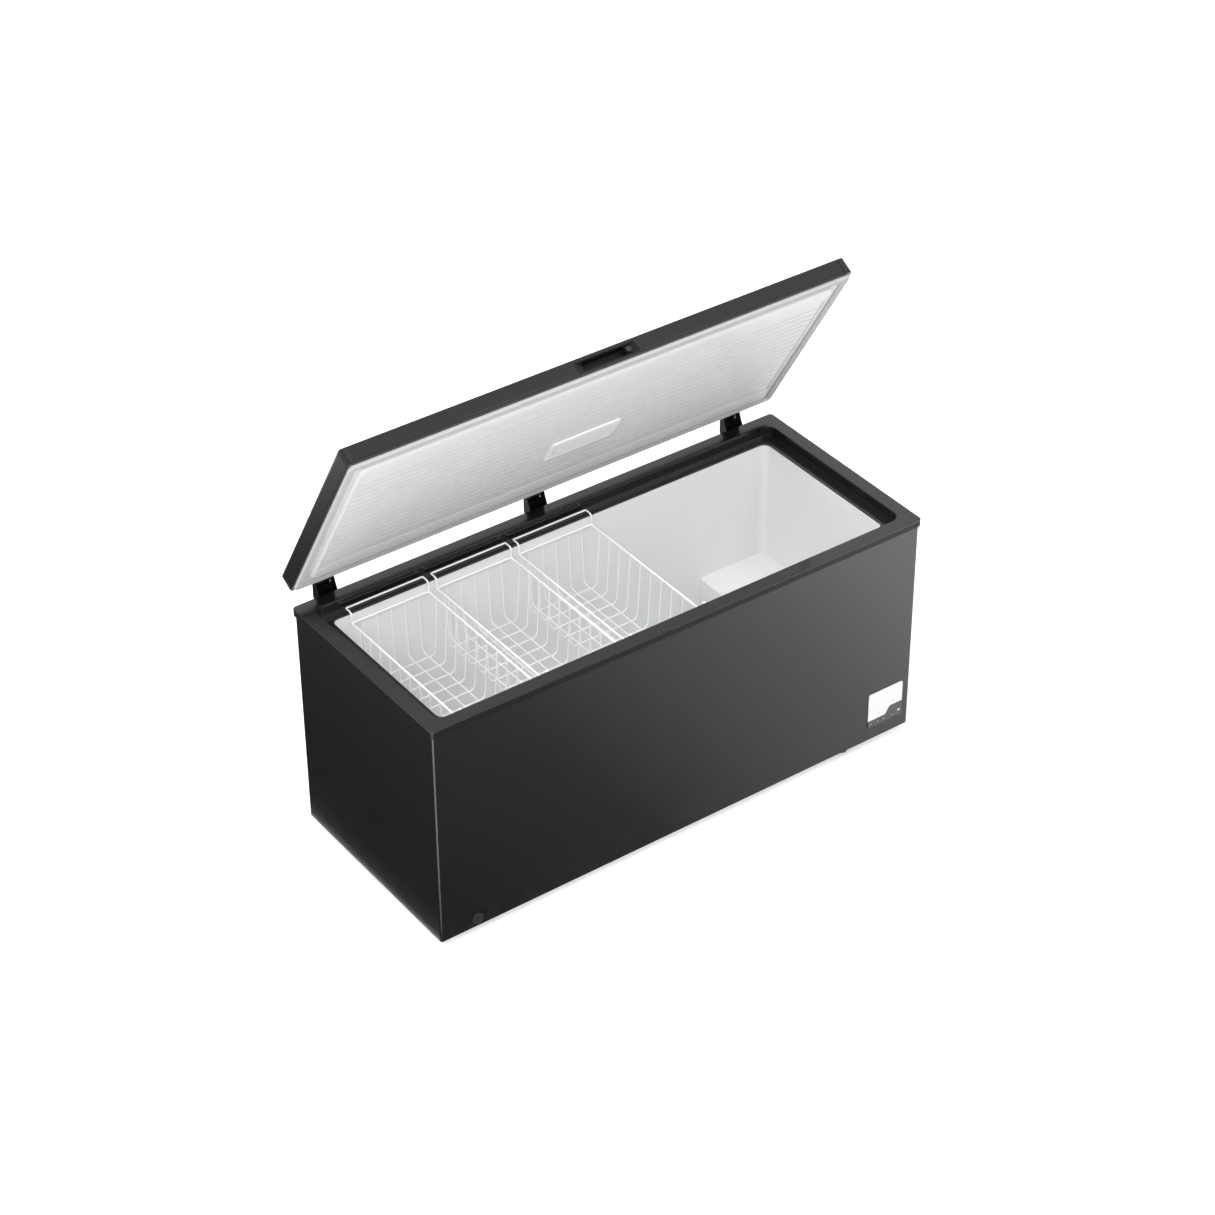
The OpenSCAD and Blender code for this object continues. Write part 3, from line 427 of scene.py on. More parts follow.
PALE_PLASTIC = GrainedPlastic("pale_plastic", (0.62, 0.63, 0.64), 0.4, drift=0.04)
LENS = Finish("lamp_lens", (0.82, 0.83, 0.84), 0.2, coat=0.3, drift=0.01, translucency=0.1)
GLOW = Finish("indicator_lens", (0.5, 0.66, 0.78), 0.15, coat=0.5, drift=0.02)
GALVANISED = DrawnMetal("galvanised_steel", (0.5, 0.52, 0.54), 0.42, metallic=1.0, drift=0.2,
                        drift_scale=60.0, stretch=(1.0, 1.0, 1.0), grain_scale=160.0)
BRIGHT_STEEL = DrawnMetal("bright_steel", (0.6, 0.61, 0.62), 0.28, metallic=1.0)
LOCK_STEEL = DrawnMetal("blackened_lock_steel", (0.10, 0.10, 0.105), 0.4, metallic=1.0)
COPPER = DrawnMetal("copper_tube", (0.62, 0.32, 0.18), 0.3, metallic=1.0, stained=0.6)
COMPRESSOR_PAINT = Finish("compressor_enamel", (0.012, 0.012, 0.012), 0.25, coat=0.3,
                          grain=0.06 * MM, grain_scale=220.0)
RUBBER = Finish("rubber", (0.02, 0.02, 0.02), 0.7, grain=0.04 * MM)
FOAM = Finish("foam", (0.78, 0.68, 0.42), 0.9, grain=0.4 * MM, grain_scale=900.0)
BOARD = CircuitBoard("circuit_board", (0.03, 0.2, 0.08), 0.35, grain=0.05 * MM)


# ---- mesh tools ----


@dataclass(frozen=True)
class Plan:
    """A rounded rectangle at one height."""

    half_x: float
    half_y: float
    corner: float
    z: float
    shift_x: float = 0.0
    shift_y: float = 0.0

    def grown(self, by: float, z: float, corner: float | None = None) -> "Plan":
        """The same outline, grown all round.

        Args:
            by: How much each side moves out.
            z: The new height.
            corner: The new corner radius; grown along with the rest if not given.

        Returns:
            The new outline.
        """
        radius = max(self.corner + by, 0.3 * MM) if corner is None else corner
        return Plan(self.half_x + by, self.half_y + by, radius, z, self.shift_x, self.shift_y)


class Work:
    """A mesh under construction."""

    def __init__(self, arc: int = 6) -> None:
        """Starts empty.

        Args:
            arc: Steps in a rounded corner.
        """
        self.bm = bmesh.new()
        self.arc = arc

    def block(self, low: Point, high: Point) -> list[bmesh.types.BMVert]:
        """A box from its low to its high corner."""
        made = bmesh.ops.create_cube(self.bm, size=1.0)["verts"]
        bmesh.ops.scale(self.bm, vec=Vector(high) - Vector(low), verts=made)
        bmesh.ops.translate(self.bm, vec=(Vector(high) + Vector(low)) / 2, verts=made)
        return made

    def spots(self, plan: Plan) -> list[Vector]:
        """The points along a rounded rectangle, in order.

        Args:
            plan: The rectangle.

        Returns:
            The points, with arc + 1 of them in each corner.
        """
        found = []
        reach_x, reach_y = plan.half_x - plan.corner, plan.half_y - plan.corner
        for quarter, (side_x, side_y) in enumerate(((1, 1), (-1, 1), (-1, -1), (1, -1))):
            for step in range(self.arc + 1):
                turn = math.radians(90 * quarter + 90 * step / self.arc)
                found.append(Vector((
                    plan.shift_x + side_x * reach_x + plan.corner * math.cos(turn),
                    plan.shift_y + side_y * reach_y + plan.corner * math.sin(turn),
                    plan.z)))
        return found

    def loft(self, plans: Sequence[Plan], closed: bool = False, first: bool = False,
             last: bool = False) -> None:
        """A skin through a row of outlines.

        Args:
            plans: The outlines in order.
            closed: Whether the last joins the first, as in a ring.
            first: Whether the first outline is filled.
            last: Whether the last outline is filled.
        """
        verts = bmesh.ops.create_circle(self.bm, segments=4 * self.arc + 4, radius=1.0)["verts"]
        verts.sort(key=lambda v: math.atan2(v.co.y, v.co.x) % math.tau)
        edges = list({edge for vert in verts for edge in vert.link_edges})
        start = edges
        for vert, spot in zip(verts, self.spots(plans[0])):
            vert.co = spot
        for plan in [*plans[1:], plans[0]] if closed else plans[1:]:
            made = bmesh.ops.extrude_edge_only(self.bm, edges=edges)["geom"]
            fresh = {part for part in made if isinstance(part, bmesh.types.BMVert)}
            edges = [part for part in made if isinstance(part, bmesh.types.BMEdge)
                     and part.verts[0] in fresh and part.verts[1] in fresh]
            verts = [next(end for edge in vert.link_edges for end in edge.verts if end in fresh)
                     for vert in verts]
            for vert, spot in zip(verts, self.spots(plan)):
                vert.co = spot
        for wanted, loop in ((first, start), (last, edges)):
            if wanted:
                bmesh.ops.contextual_create(self.bm, geom=loop)

    def spun(self, profile: Sequence[tuple[float, float]], steps: int = 40) -> None:
        """A turned shape about Z.

        Args:
            profile: Radius and height, from one end to the other.
            steps: Sides round the axis.
        """
        verts = [self.bm.verts.new((radius, 0.0, height)) for radius, height in profile]
        edges = [self.bm.edges.new(pair) for pair in zip(verts, verts[1:])]
        bmesh.ops.spin(self.bm, geom=verts + edges, cent=(0, 0, 0), axis=(0, 0, 1), angle=math.tau,
                       steps=steps, use_merge=True, use_duplicate=False)

    def plate(self, points: Sequence[tuple[float, float]], low: float, high: float) -> None:
        """A flat outline in X and Y, made thick.

        Args:
            points: The outline.
            low: Height of the lower face.
            high: Height of the upper face.
        """
        verts = [self.bm.verts.new((x, y, low)) for x, y in points]
        face = self.bm.faces.new(verts)
        made = bmesh.ops.extrude_face_region(self.bm, geom=[face])["geom"]
        top = [part for part in made if isinstance(part, bmesh.types.BMVert)]
        bmesh.ops.translate(self.bm, vec=(0, 0, high - low), verts=top)

    def cut(self, spot: Point, normal: Point) -> None:
        """Divides every face that a plane crosses."""
        geom = self.bm.verts[:] + self.bm.edges[:] + self.bm.faces[:]
        bmesh.ops.bisect_plane(self.bm, geom=geom, dist=MERGE, plane_co=spot, plane_no=normal)

    def window(self, low: Point, high: Point, facing: Point) -> None:
        """Opens a rectangular hole in the faces that look one way.

        Args:
            low: Low corner of the hole's space.
            high: High corner of the hole's space.
            facing: The way the pierced faces look.
        """
        centre = (Vector(low) + Vector(high)) / 2
        for axis in range(3):
            if abs(facing[axis]) > 0.5:
                continue
            for corner in (low, high):
                spot, normal = centre.copy(), Vector((0, 0, 0))
                spot[axis] = corner[axis]
                normal[axis] = 1.0
                self.cut(spot, normal)
        inside = [face for face in self.bm.faces
                  if all(low[i] < face.calc_center_median()[i] < high[i] for i in range(3))]
        bmesh.ops.delete(self.bm, geom=inside, context="FACES")

    def moved(self, matrix: Matrix) -> "Work":
        """Moves all that is made so far."""
        bmesh.ops.transform(self.bm, matrix=matrix, verts=self.bm.verts)
        return self


def linked(name: str, data: Any) -> bpy.types.Object:
    """A new object at the origin, in the scene."""
    made = bpy.data.objects.new(name, data)
    bpy.context.scene.collection.objects.link(made)
    return made


@dataclass
class Settled:
    """How a finished mesh joins the object."""

    body: Body
    finish: Finish
    slot: str
    replaces: tuple[str, ...] = ()
    bevel: float = 0.0
    wall: float = 0.0
    turn: Matrix | None = None

    def object_from(self, work: Work, name: str) -> bpy.types.Object:
        """Turns work into a piece.

        Args:
            work: The mesh under construction.
            name: The piece's name.

        Returns:
            The piece.
        """
        bm = work.bm
        bmesh.ops.remove_doubles(bm, verts=bm.verts, dist=MERGE)
        bmesh.ops.recalc_face_normals(bm, faces=bm.faces)
        if self.turn is not None:
            bmesh.ops.transform(bm, matrix=self.turn, verts=bm.verts)
        mesh = bpy.data.meshes.new(name)
        bm.to_mesh(mesh)
        bm.free()
        return self.dressed(name, mesh)

    def dressed(self, name: str, mesh: bpy.types.Mesh) -> bpy.types.Object:
        """Gives a mesh its modifiers, finish and body.

        Args:
            name: The piece's name.
            mesh: Its mesh.

        Returns:
            The piece.
        """
        piece = linked(name, mesh)
        mesh.shade_smooth()
        if self.wall:
            solid = piece.modifiers.new("wall", "SOLIDIFY")
            solid.thickness = abs(self.wall)
            solid.offset = math.copysign(1.0, self.wall)
            solid.use_even_offset = True
        if self.bevel:
            edge = piece.modifiers.new("edges", "BEVEL")
            edge.limit_method = "ANGLE"
            edge.angle_limit = BEVEL_TURN
            edge.width = self.bevel
            edge.segments = 3
            edge.harden_normals = True
        else:
            mesh.set_sharp_from_angle(angle=SHARP_TURN)
            even = piece.modifiers.new("even_shading", "WEIGHTED_NORMAL")
            even.keep_sharp = True
        mesh.materials.append(self.finish.material())
        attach(piece, self.body.value)
        if self.replaces:
            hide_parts(*self.replaces)
        LOG.info("%s: %d faces on %s", name, len(mesh.polygons), self.body.value)
        return piece


def eased(points: Sequence[Point], bend: float, steps: int = 4) -> list[Vector]:
    """Rounds the corners of a path.

    Args:
        points: The path's corners.
        bend: How far from a corner its curve starts.
        steps: Steps in each curve.

    Returns:
        The rounded path.
    """
    path = [Vector(points[0])]
    for before, corner, after in zip(points, points[1:], points[2:]):
        spot = Vector(corner)
        start = spot + (Vector(before) - spot).normalized() * bend
        end = spot + (Vector(after) - spot).normalized() * bend
        for step in range(steps + 1):
            share = step / steps
            path.append(start.lerp(spot, share).lerp(spot.lerp(end, share), share))
    path.append(Vector(points[-1]))
    return path


class WireWork:
    """Bent wires, gathered into one mesh."""

    def __init__(self) -> None:
        """Starts with no wire."""
        self.curves: dict[float, bpy.types.Curve] = {}

    def add(self, path: Sequence[Point], radius: float, closed: bool = False) -> None:
        """Adds a wire.

        Args:
            path: The points along it.
            radius: The wire's radius.
            closed: Whether it is a loop.
        """
        if radius not in self.curves:
            made = bpy.data.curves.new("wire", "CURVE")
            made.dimensions = "3D"
            made.bevel_depth = radius
            made.bevel_resolution = 1
            made.use_fill_caps = True
            self.curves[radius] = made
        spline = self.curves[radius].splines.new("POLY")
        spline.points.add(len(path) - 1)
        for spot, point in zip(spline.points, path):
            spot.co = (*point, 1.0)
        spline.use_cyclic_u = closed

    def work(self) -> Work:
        """The wires as a mesh under construction."""
        made = Work()
        for curve in self.curves.values():
            holder = linked("wire_holder", curve)
            mesh = bpy.data.meshes.new_from_object(holder)
            made.bm.from_mesh(mesh)
            bpy.data.objects.remove(holder)
            bpy.data.meshes.remove(mesh)
            bpy.data.curves.remove(curve)
        return made


def carried(finish: Finish, *nodes: str) -> None:
    """Gives CAD nodes that stay a finish of their own.

    Args:
        finish: The finish.
        nodes: The nodes.
    """
    for name in nodes:
        node = frame["nodes"][name]
        for holder in node.material_slots:
            holder.material = finish.material()
        LOG.info("%s: kept, in %s", name, finish.name)


# ---- the cabinet ----


@dataclass
class Cabinet:
    """Shared measures of the cabinet, taken from the CAD model."""

    rim_face: float = 42 * MM
    rim_t: float = 3 * MM
    band: float = 23 * MM
    edge: float = 4 * MM
    outer_r: float = 12 * MM
    bead: float = 2.2 * MM
    overhang: float = 6 * MM
    ledge_drop: float = 32 * MM
    lip_drop: float = 8 * MM
    lip_gap: float = 1 * MM
    liner_r: float = 22 * MM
    liner_t: float = 1.5 * MM
    flange: float = 6 * MM
    floor_r: float = 14 * MM
    nose_r: float = 8 * MM
    mouth_r: float = 34 * MM
    step_x: float = 514 * MM
    step_z: float = 330 * MM
    floor_z: float = 100 * MM
    inside: tuple[float, float] = (747 * MM, 267 * MM)

    def __post_init__(self) -> None:
        """Reads the rim's box."""
        low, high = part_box("rim_collar")
        self.middle_y = (low[1] + high[1]) / 2
        self.half = ((high[0] - low[0]) / 2, (high[1] - low[1]) / 2)
        self.rim_z = high[2]
        self.ledge_z = self.rim_z - self.ledge_drop
        self.lip_z = self.ledge_z - self.lip_drop

    def plan(self, half_x: float, half_y: float, corner: float, z: float) -> Plan:
        """A rounded rectangle about the cabinet's middle."""
        return Plan(half_x, half_y, corner, z, 0.0, self.middle_y)

    def make_rim(self) -> None:
        """The moulded collar: outer band, top face, ledge for the baskets and lip."""
        top, ledge, thick = self.rim_z, self.ledge_z, self.rim_t
        under = ledge - thick
        outer = self.plan(*self.half, self.outer_r, top - self.edge)
        sheet = outer.grown(-self.overhang, top - thick)
        mouth = self.plan(self.half[0] - self.rim_face, self.half[1] - self.rim_face,
                          self.mouth_r, top)
        lip = self.plan(self.inside[0] + self.lip_gap, self.inside[1] + self.lip_gap,
                        self.liner_r + self.lip_gap, ledge)
        work = Work(arc=8)
        work.loft([
            outer, outer.grown(0, top - 1.2 * MM), outer.grown(-0.4 * MM, top - 0.4 * MM),
            outer.grown(-1.2 * MM, top), mouth.grown(self.bead, top),
            mouth.grown(0.6 * MM, top - 0.7 * MM), mouth.grown(0, top - self.bead),
            mouth.grown(0, ledge + 3 * MM), mouth.grown(-0.9 * MM, ledge + 0.9 * MM),
            mouth.grown(-3 * MM, ledge), lip.grown(9 * MM, ledge),
            lip.grown(8.4 * MM, ledge - 1.5 * MM), lip.grown(6 * MM, ledge - 1.5 * MM),
            lip.grown(5.4 * MM, ledge), lip.grown(1.5 * MM, ledge),
            lip.grown(0.4 * MM, ledge - 0.4 * MM), lip.grown(0, ledge - 1.5 * MM),
            lip.grown(0, self.lip_z), lip.grown(thick, self.lip_z), lip.grown(thick, under),
            mouth.grown(thick, under), mouth.grown(thick, top - thick),
            sheet, sheet.grown(0, top - self.edge),
        ], closed=True)
        Settled(Body.CABINET, RIM_PLASTIC, "rim_plastic", ("rim_collar",)
                ).object_from(work, "rim_moulding")
        foot = top - self.band
        band = Work(arc=8)
        band.loft([
            outer.grown(-0.3 * MM, outer.z), outer.grown(-0.3 * MM, foot + 0.8 * MM),
            outer.grown(-1.1 * MM, foot), sheet.grown(1 * MM, foot),
            sheet.grown(0, foot + 1 * MM), sheet.grown(0, outer.z),
        ], closed=True)
        Settled(Body.CABINET, BAND_PLASTIC, "rim_plastic").object_from(band, "rim_band")

    def make_liner(self) -> None:
        """The white well with its step, and the flange under the lip."""
        work = Work()
        wall = self.plan(*self.inside, self.liner_r, self.lip_z)
        turns = [math.radians(90 * step / 5) for step in range(6)]
        fillet = [wall.grown(self.floor_r * (math.cos(turn) - 1),
                             self.floor_z + self.floor_r * (1 - math.sin(turn)))
                  for turn in turns]
        work.loft([wall.grown(self.flange, self.lip_z), wall, *fillet], last=True)
        work.cut((self.step_x, 0, 0), (1, 0, 0))
        work.cut((0, 0, self.step_z), (0, 0, 1))
        middles = [(face, face.calc_center_median()) for face in work.bm.faces]
        gone = [face for face, middle in middles
                if middle.x > self.step_x and middle.z < self.step_z]
        bmesh.ops.delete(work.bm, geom=gone, context="FACES")
        rims = [edge for edge in work.bm.edges if edge.is_boundary]
        tread = [edge for edge in rims
                 if all(abs(v.co.z - self.step_z) < NEAR for v in edge.verts)]
        riser = [edge for edge in rims
                 if all(abs(v.co.x - self.step_x) < NEAR for v in edge.verts)]
        ends = {v for edge in tread for v in edge.verts} & {v for edge in riser for v in edge.verts}
        nose = work.bm.edges.new(tuple(ends))
        for loop in (tread, riser):
            bmesh.ops.contextual_create(work.bm, geom=[*loop, nose])
        bmesh.ops.bevel(work.bm, geom=[nose], offset=self.nose_r, offset_type="OFFSET",
                        segments=4, profile=0.5, affect="EDGES", material=-1)
        Settled(Body.CABINET, LINER, "liner_white", ("inner_liner",), wall=self.liner_t
                ).object_from(work, "well_liner")

    def make(self) -> None:
        """Builds the rim and liner and dresses the sheet metal."""
        self.make_rim()
        self.make_liner()
        carried(FRONT_PAINT, "outer_wrap")
        carried(BACK_PAINT, "back_panel")
        carried(GALVANISED, "base_pan", "bay_bulkhead", "compressor_tray", "roller_brackets")
        carried(FOAM, "cabinet_foam", "lid_foam")


@dataclass
class Lid:
    """The lid, built shut and swung open."""

    cabinet: Cabinet
    gap: float = 9 * MM
    height: float = 51 * MM
    half_x: float = 820.5 * MM
    half_y: float = 345 * MM
    corner: float = 8 * MM
    inset: float = 46 * MM
    strip: float = 62 * MM
    field: float = 6 * MM
    gasket_w: float = 22 * MM
    rib_pitch: float = 27 * MM
    rib_half: float = 5 * MM
    rib_crest: float = 3 * MM
    rib_run: float = 9 * MM
    trim: float = 9 * MM
    handle_x: float = 99 * MM
    handle_h: float = 18 * MM
    lock_x: float = 71 * MM
    lamp: tuple[float, float] = (42 * MM, 62 * MM)
    lamp_half: tuple[float, float] = (117.5 * MM, 46 * MM)

    def __post_init__(self) -> None:
        """Finds the hinge line and the swing."""
        joint = next(j for j in frame["joints"] if j["name"] == "lid_hinge")
        axis = Vector(joint["pos_m"])
        swing = Matrix.Rotation(math.radians(joint["range_deg"][0]), 4, "X")
        self.open = Matrix.Translation(axis) @ swing @ Matrix.Translation(-axis)
        self.skirt_z = self.cabinet.rim_z + self.gap
        self.top_z = self.skirt_z + self.height
        self.handle_z = self.top_z - 27 * MM
        self.front_y = self.cabinet.middle_y - self.half_y

    def settled(self, finish: Finish, slot: str, *replaces: str, body: Body = Body.LID,
                bevel: float = 0.0, wall: float = 0.0) -> Settled:
        """How a lid piece joins the object, already swung open."""
        return Settled(body, finish, slot, replaces, bevel, wall, self.open)

    def make_skin(self) -> None:
        """The painted pan, with the groove and lip of its lower edge."""
        z = self.skirt_z
        edge = self.cabinet.plan(self.half_x, self.half_y, self.corner, z)
        plans = [
            edge.grown(-self.trim - 1 * MM, z + 1.2 * MM), edge.grown(-self.trim, z),
            edge.grown(-0.8 * MM, z), edge.grown(0, z + 0.8 * MM), edge.grown(0, z + 6.5 * MM),
            edge.grown(-0.5 * MM, z + 7 * MM), edge.grown(-0.5 * MM, z + 8 * MM),
            edge.grown(0, z + 8.5 * MM), edge.grown(0, self.top_z - 3 * MM),
            edge.grown(-0.9 * MM, self.top_z - 0.9 * MM), edge.grown(-3 * MM, self.top_z),
        ]
        work = Work()
        work.loft(plans, last=True)
        work.window((-self.handle_x, self.front_y - 10 * MM, self.handle_z - self.handle_h),
                    (self.handle_x, self.front_y + 5 * MM, self.handle_z + self.handle_h),
                    (0, -1, 0))
        self.settled(LID_PAINT, "painted_steel", "lid_skin", wall=-0.9 * MM
                     ).object_from(work, "lid_pan")

    def make_liner(self) -> None:
        """White inner side: margin, raised strip, groove and a shallow field.

        At the two ends the strip is squeezed to a narrow edge.
        """
        z = self.skirt_z
        edge = self.cabinet.plan(self.half_x - self.trim, self.half_y - self.trim, 3 * MM,
                                 z - 0.2 * MM)
        plug = self.cabinet.plan(self.half_x - self.inset, self.half_y - self.inset, 24 * MM, z)
        section = [(0.0, 0.2), (0.6, 4.0), (2.5, 7.2), (6.0, 9.0), (14.0, 9.9), (28.0, 10.0),
                   (44.0, 9.3), (56.0, 8.0), (59.6, 7.4), (60.0, 3.6), (64.4, 3.6), (64.8, 6.0),
                   (70.0, 6.2)]
        roll, groove, squeeze = 6.0, 59.6, 0.06
        plans = [edge]
        for inward, down in section:
            strip = max(0.0, min(inward, groove) - roll)
            ends = min(inward, roll) + squeeze * strip + max(0.0, inward - groove)
            plans.append(replace(plug.grown(-inward * MM, z - down * MM),
                                 half_x=plug.half_x - ends * MM))
        work = Work(arc=8)
        work.loft(plans, last=True)
        self.settled(LID_LINER, "liner_white", "lid_liner", wall=-1.2 * MM
                     ).object_from(work, "lid_inner_shell")

    def make_ribs(self) -> None:
        """Fine ribs pressed into the field, running from end to end, in a darker white than the
        field that is painted shade.
        """
        half_x = self.half_x - self.inset - 17 * MM
        half_y = self.half_y - self.inset - self.strip - 10 * MM
        base = self.skirt_z - self.field - 0.1 * MM
        count = int(2 * half_y / self.rib_pitch)
        half_round = [(-1.0, 0.0), (-0.6, -0.35), (-0.2, -1.0),
                      (0.2, -1.0), (0.6, -0.35), (1.0, 0.0)]
        run = self.rib_run
        work = Work()
        for row in range(count):
            y = self.cabinet.middle_y + (row - (count - 1) / 2) * self.rib_pitch
            verts = [work.bm.verts.new((-half_x, y + across * self.rib_half, base))
                     for across, _ in half_round]
            edges = [work.bm.edges.new(pair) for pair in zip(verts, verts[1:])]
            for distance, lift in ((run, 1.0), (2 * half_x - 2 * run, 1.0), (run, 0.0)):
                made = bmesh.ops.extrude_edge_only(work.bm, edges=edges)["geom"]
                verts = sorted((p for p in made if isinstance(p, bmesh.types.BMVert)),
                               key=lambda v: v.co.y)
                edges = [p for p in made if isinstance(p, bmesh.types.BMEdge)]
                for vert, (_, down) in zip(verts, half_round):
                    vert.co.x += distance
                    vert.co.z = base + down * self.rib_crest * lift
        # The ribs' darker white is painted shade along the ribs.
        self.settled(LID_RIBS_PAINTED_SHADE, "liner_white").object_from(work, "lid_field_ribs")

    def make_gasket(self) -> None:
        """The magnetic seal with its row of bellows."""
        z = self.skirt_z
        mid = self.cabinet.rim_face / 2
        outer = self.cabinet.plan(self.cabinet.half[0] - mid + self.gasket_w / 2,
                                  self.cabinet.half[1] - mid + self.gasket_w / 2, 14 * MM, z)
        section = [(0.0, 0.3), (0.3, 6.6), (1.6, 8.5)]
        for fold in range(4):
            start = 3.6 + 4.6 * fold
            section += [(start, 7.0), (start + 0.9, 7.0), (start + 2.0, 8.5), (start + 2.7, 8.5)]
        section += [(21.7, 6.6), (22.0, 0.3)]
        plans = [outer.grown(-inward * MM, z - down * MM) for inward, down in section]
        work = Work(arc=5)
        work.loft(plans, closed=True)
        self.settled(GASKET, "gasket_pvc", "lid_gasket").object_from(work, "lid_seal")

    def make_handle(self) -> None:
        """The moulded insert: a raised frame, sloping sides and the finger slot."""
        slot = Plan(68 * MM, 13 * MM, 3 * MM, 0.0, -4 * MM, 1.5 * MM)
        rim = Plan(self.handle_x, self.handle_h, 4 * MM, 0.0)
        work = Work()
        work.loft([
            rim.grown(-2 * MM, -12 * MM), rim.grown(0, -1 * MM), rim.grown(-0.4 * MM, 0.3 * MM),
            rim.grown(-1.2 * MM, 0.6 * MM), rim.grown(-3 * MM, 0.6 * MM),
            rim.grown(-3.8 * MM, 0.0), slot.grown(5 * MM, -8 * MM),
            slot.grown(1.5 * MM, -10 * MM), slot.grown(0, -12 * MM),
            slot.grown(-1 * MM, -24 * MM), slot.grown(-3 * MM, -26 * MM, 2 * MM),
        ], last=True)
        work.moved(self._front(0.0))
        # The insert is made in the darker handle plastic, which is painted shade for its recess.
        self.settled(HANDLE_PAINTED_SHADE_PLASTIC, "black_plastic", "lid_handle"
                     ).object_from(work, "handle_insert")
        collar = Work()
        collar.spun([(6.1 * MM, -12 * MM), (6.1 * MM, -0.2 * MM), (7 * MM, 0.2 * MM),
                     (8.2 * MM, 0.2 * MM), (9 * MM, -0.6 * MM), (9.6 * MM, -12 * MM)], 32)
        collar.moved(self._front(self.lock_x))
        self.settled(BLACK_PLASTIC, "black_plastic").object_from(collar, "lock_collar")

    def _front(self, x: float) -> Matrix:
        """From a plan drawn flat to the lid's front face, at x."""
        return (Matrix.Translation((x, self.front_y, self.handle_z))
                @ Matrix.Rotation(math.radians(90), 4, "X"))

    def make_lamp(self) -> None:
        """The lens of the lamp, with its screw."""
        low_z = self.skirt_z - self.field
        x, y = self.lamp[0], self.cabinet.middle_y + self.lamp[1]
        plan = Plan(*self.lamp_half, 8 * MM, low_z, x, y)
        work = Work()
        work.loft([
            plan, plan.grown(-1.2 * MM, low_z - 6 * MM), plan.grown(-2.4 * MM, low_z - 8.2 * MM),
            plan.grown(-5 * MM, low_z - 9 * MM), plan.grown(-12 * MM, low_z - 9 * MM),
            plan.grown(-13 * MM, low_z - 8.2 * MM),
        ], last=True)
        self.settled(LENS, "lamp_lens", "lamp_cover").object_from(work, "lamp_lens")
        screw = Work()
        screw.spun([(0, -9.6 * MM), (2.6 * MM, -9.5 * MM), (3.6 * MM, -8.9 * MM),
                    (3.6 * MM, -8 * MM)], 24)
        screw.moved(Matrix.Translation((x - 100 * MM, y, low_z)))
        self.settled(PANEL_MARK, "pale_plastic").object_from(screw, "lamp_screw")

    def make(self) -> None:
        """Builds and dresses the lid."""
        self.make_skin()
        self.make_liner()
        self.make_ribs()
        self.make_gasket()
        self.make_handle()
        self.make_lamp()
        carried(BLACK_PLASTIC, "lid_corner_caps", "lamp_switch")
        carried(BOARD, "lamp_board")
        carried(HINGE_PAINT, "hinge_lid_arms", "hinge_brackets")
        carried(BRIGHT_STEEL, "hinge_springs", "lock_cam")
        carried(LOCK_STEEL, "lock_barrel", "hinge_pins", "hinge_screws", "lid_arm_screws")


@dataclass
class HingeShrouds:
    """Sheet covers that close the cabinet's hinge brackets behind the lid's knuckles."""

    half_x: float = 26 * MM
    thick: float = 2 * MM
    foot: float = 30 * MM
    edge: float = 0.6 * MM

    def make(self) -> None:
        """Builds one cover between the cheeks of each bracket."""
        low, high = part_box("hinge_brackets")
        joint = next(j for j in frame["joints"] if j["name"] == "lid_hinge")
        axis_y, axis_z = joint["pos_m"][1:]
        middle = (low[0] + high[0]) / 2
        reach = (high[0] - low[0]) / 2 - 30 * MM
        work = Work()
        for x in (middle - reach, middle, middle + reach):
            work.block((x - self.half_x, axis_y + 8 * MM, axis_z - 22.5 * MM - self.foot),
                       (x + self.half_x, axis_y + 8 * MM + self.thick, axis_z - 9 * MM))
            work.block((x - self.half_x, axis_y - 16 * MM, axis_z - 16 * MM),
                       (x + self.half_x, axis_y - 14 * MM, axis_z - 8 * MM))
        Settled(Body.CABINET, HINGE_PAINT, "hinge_steel", bevel=self.edge
                ).object_from(work, "hinge_shrouds")


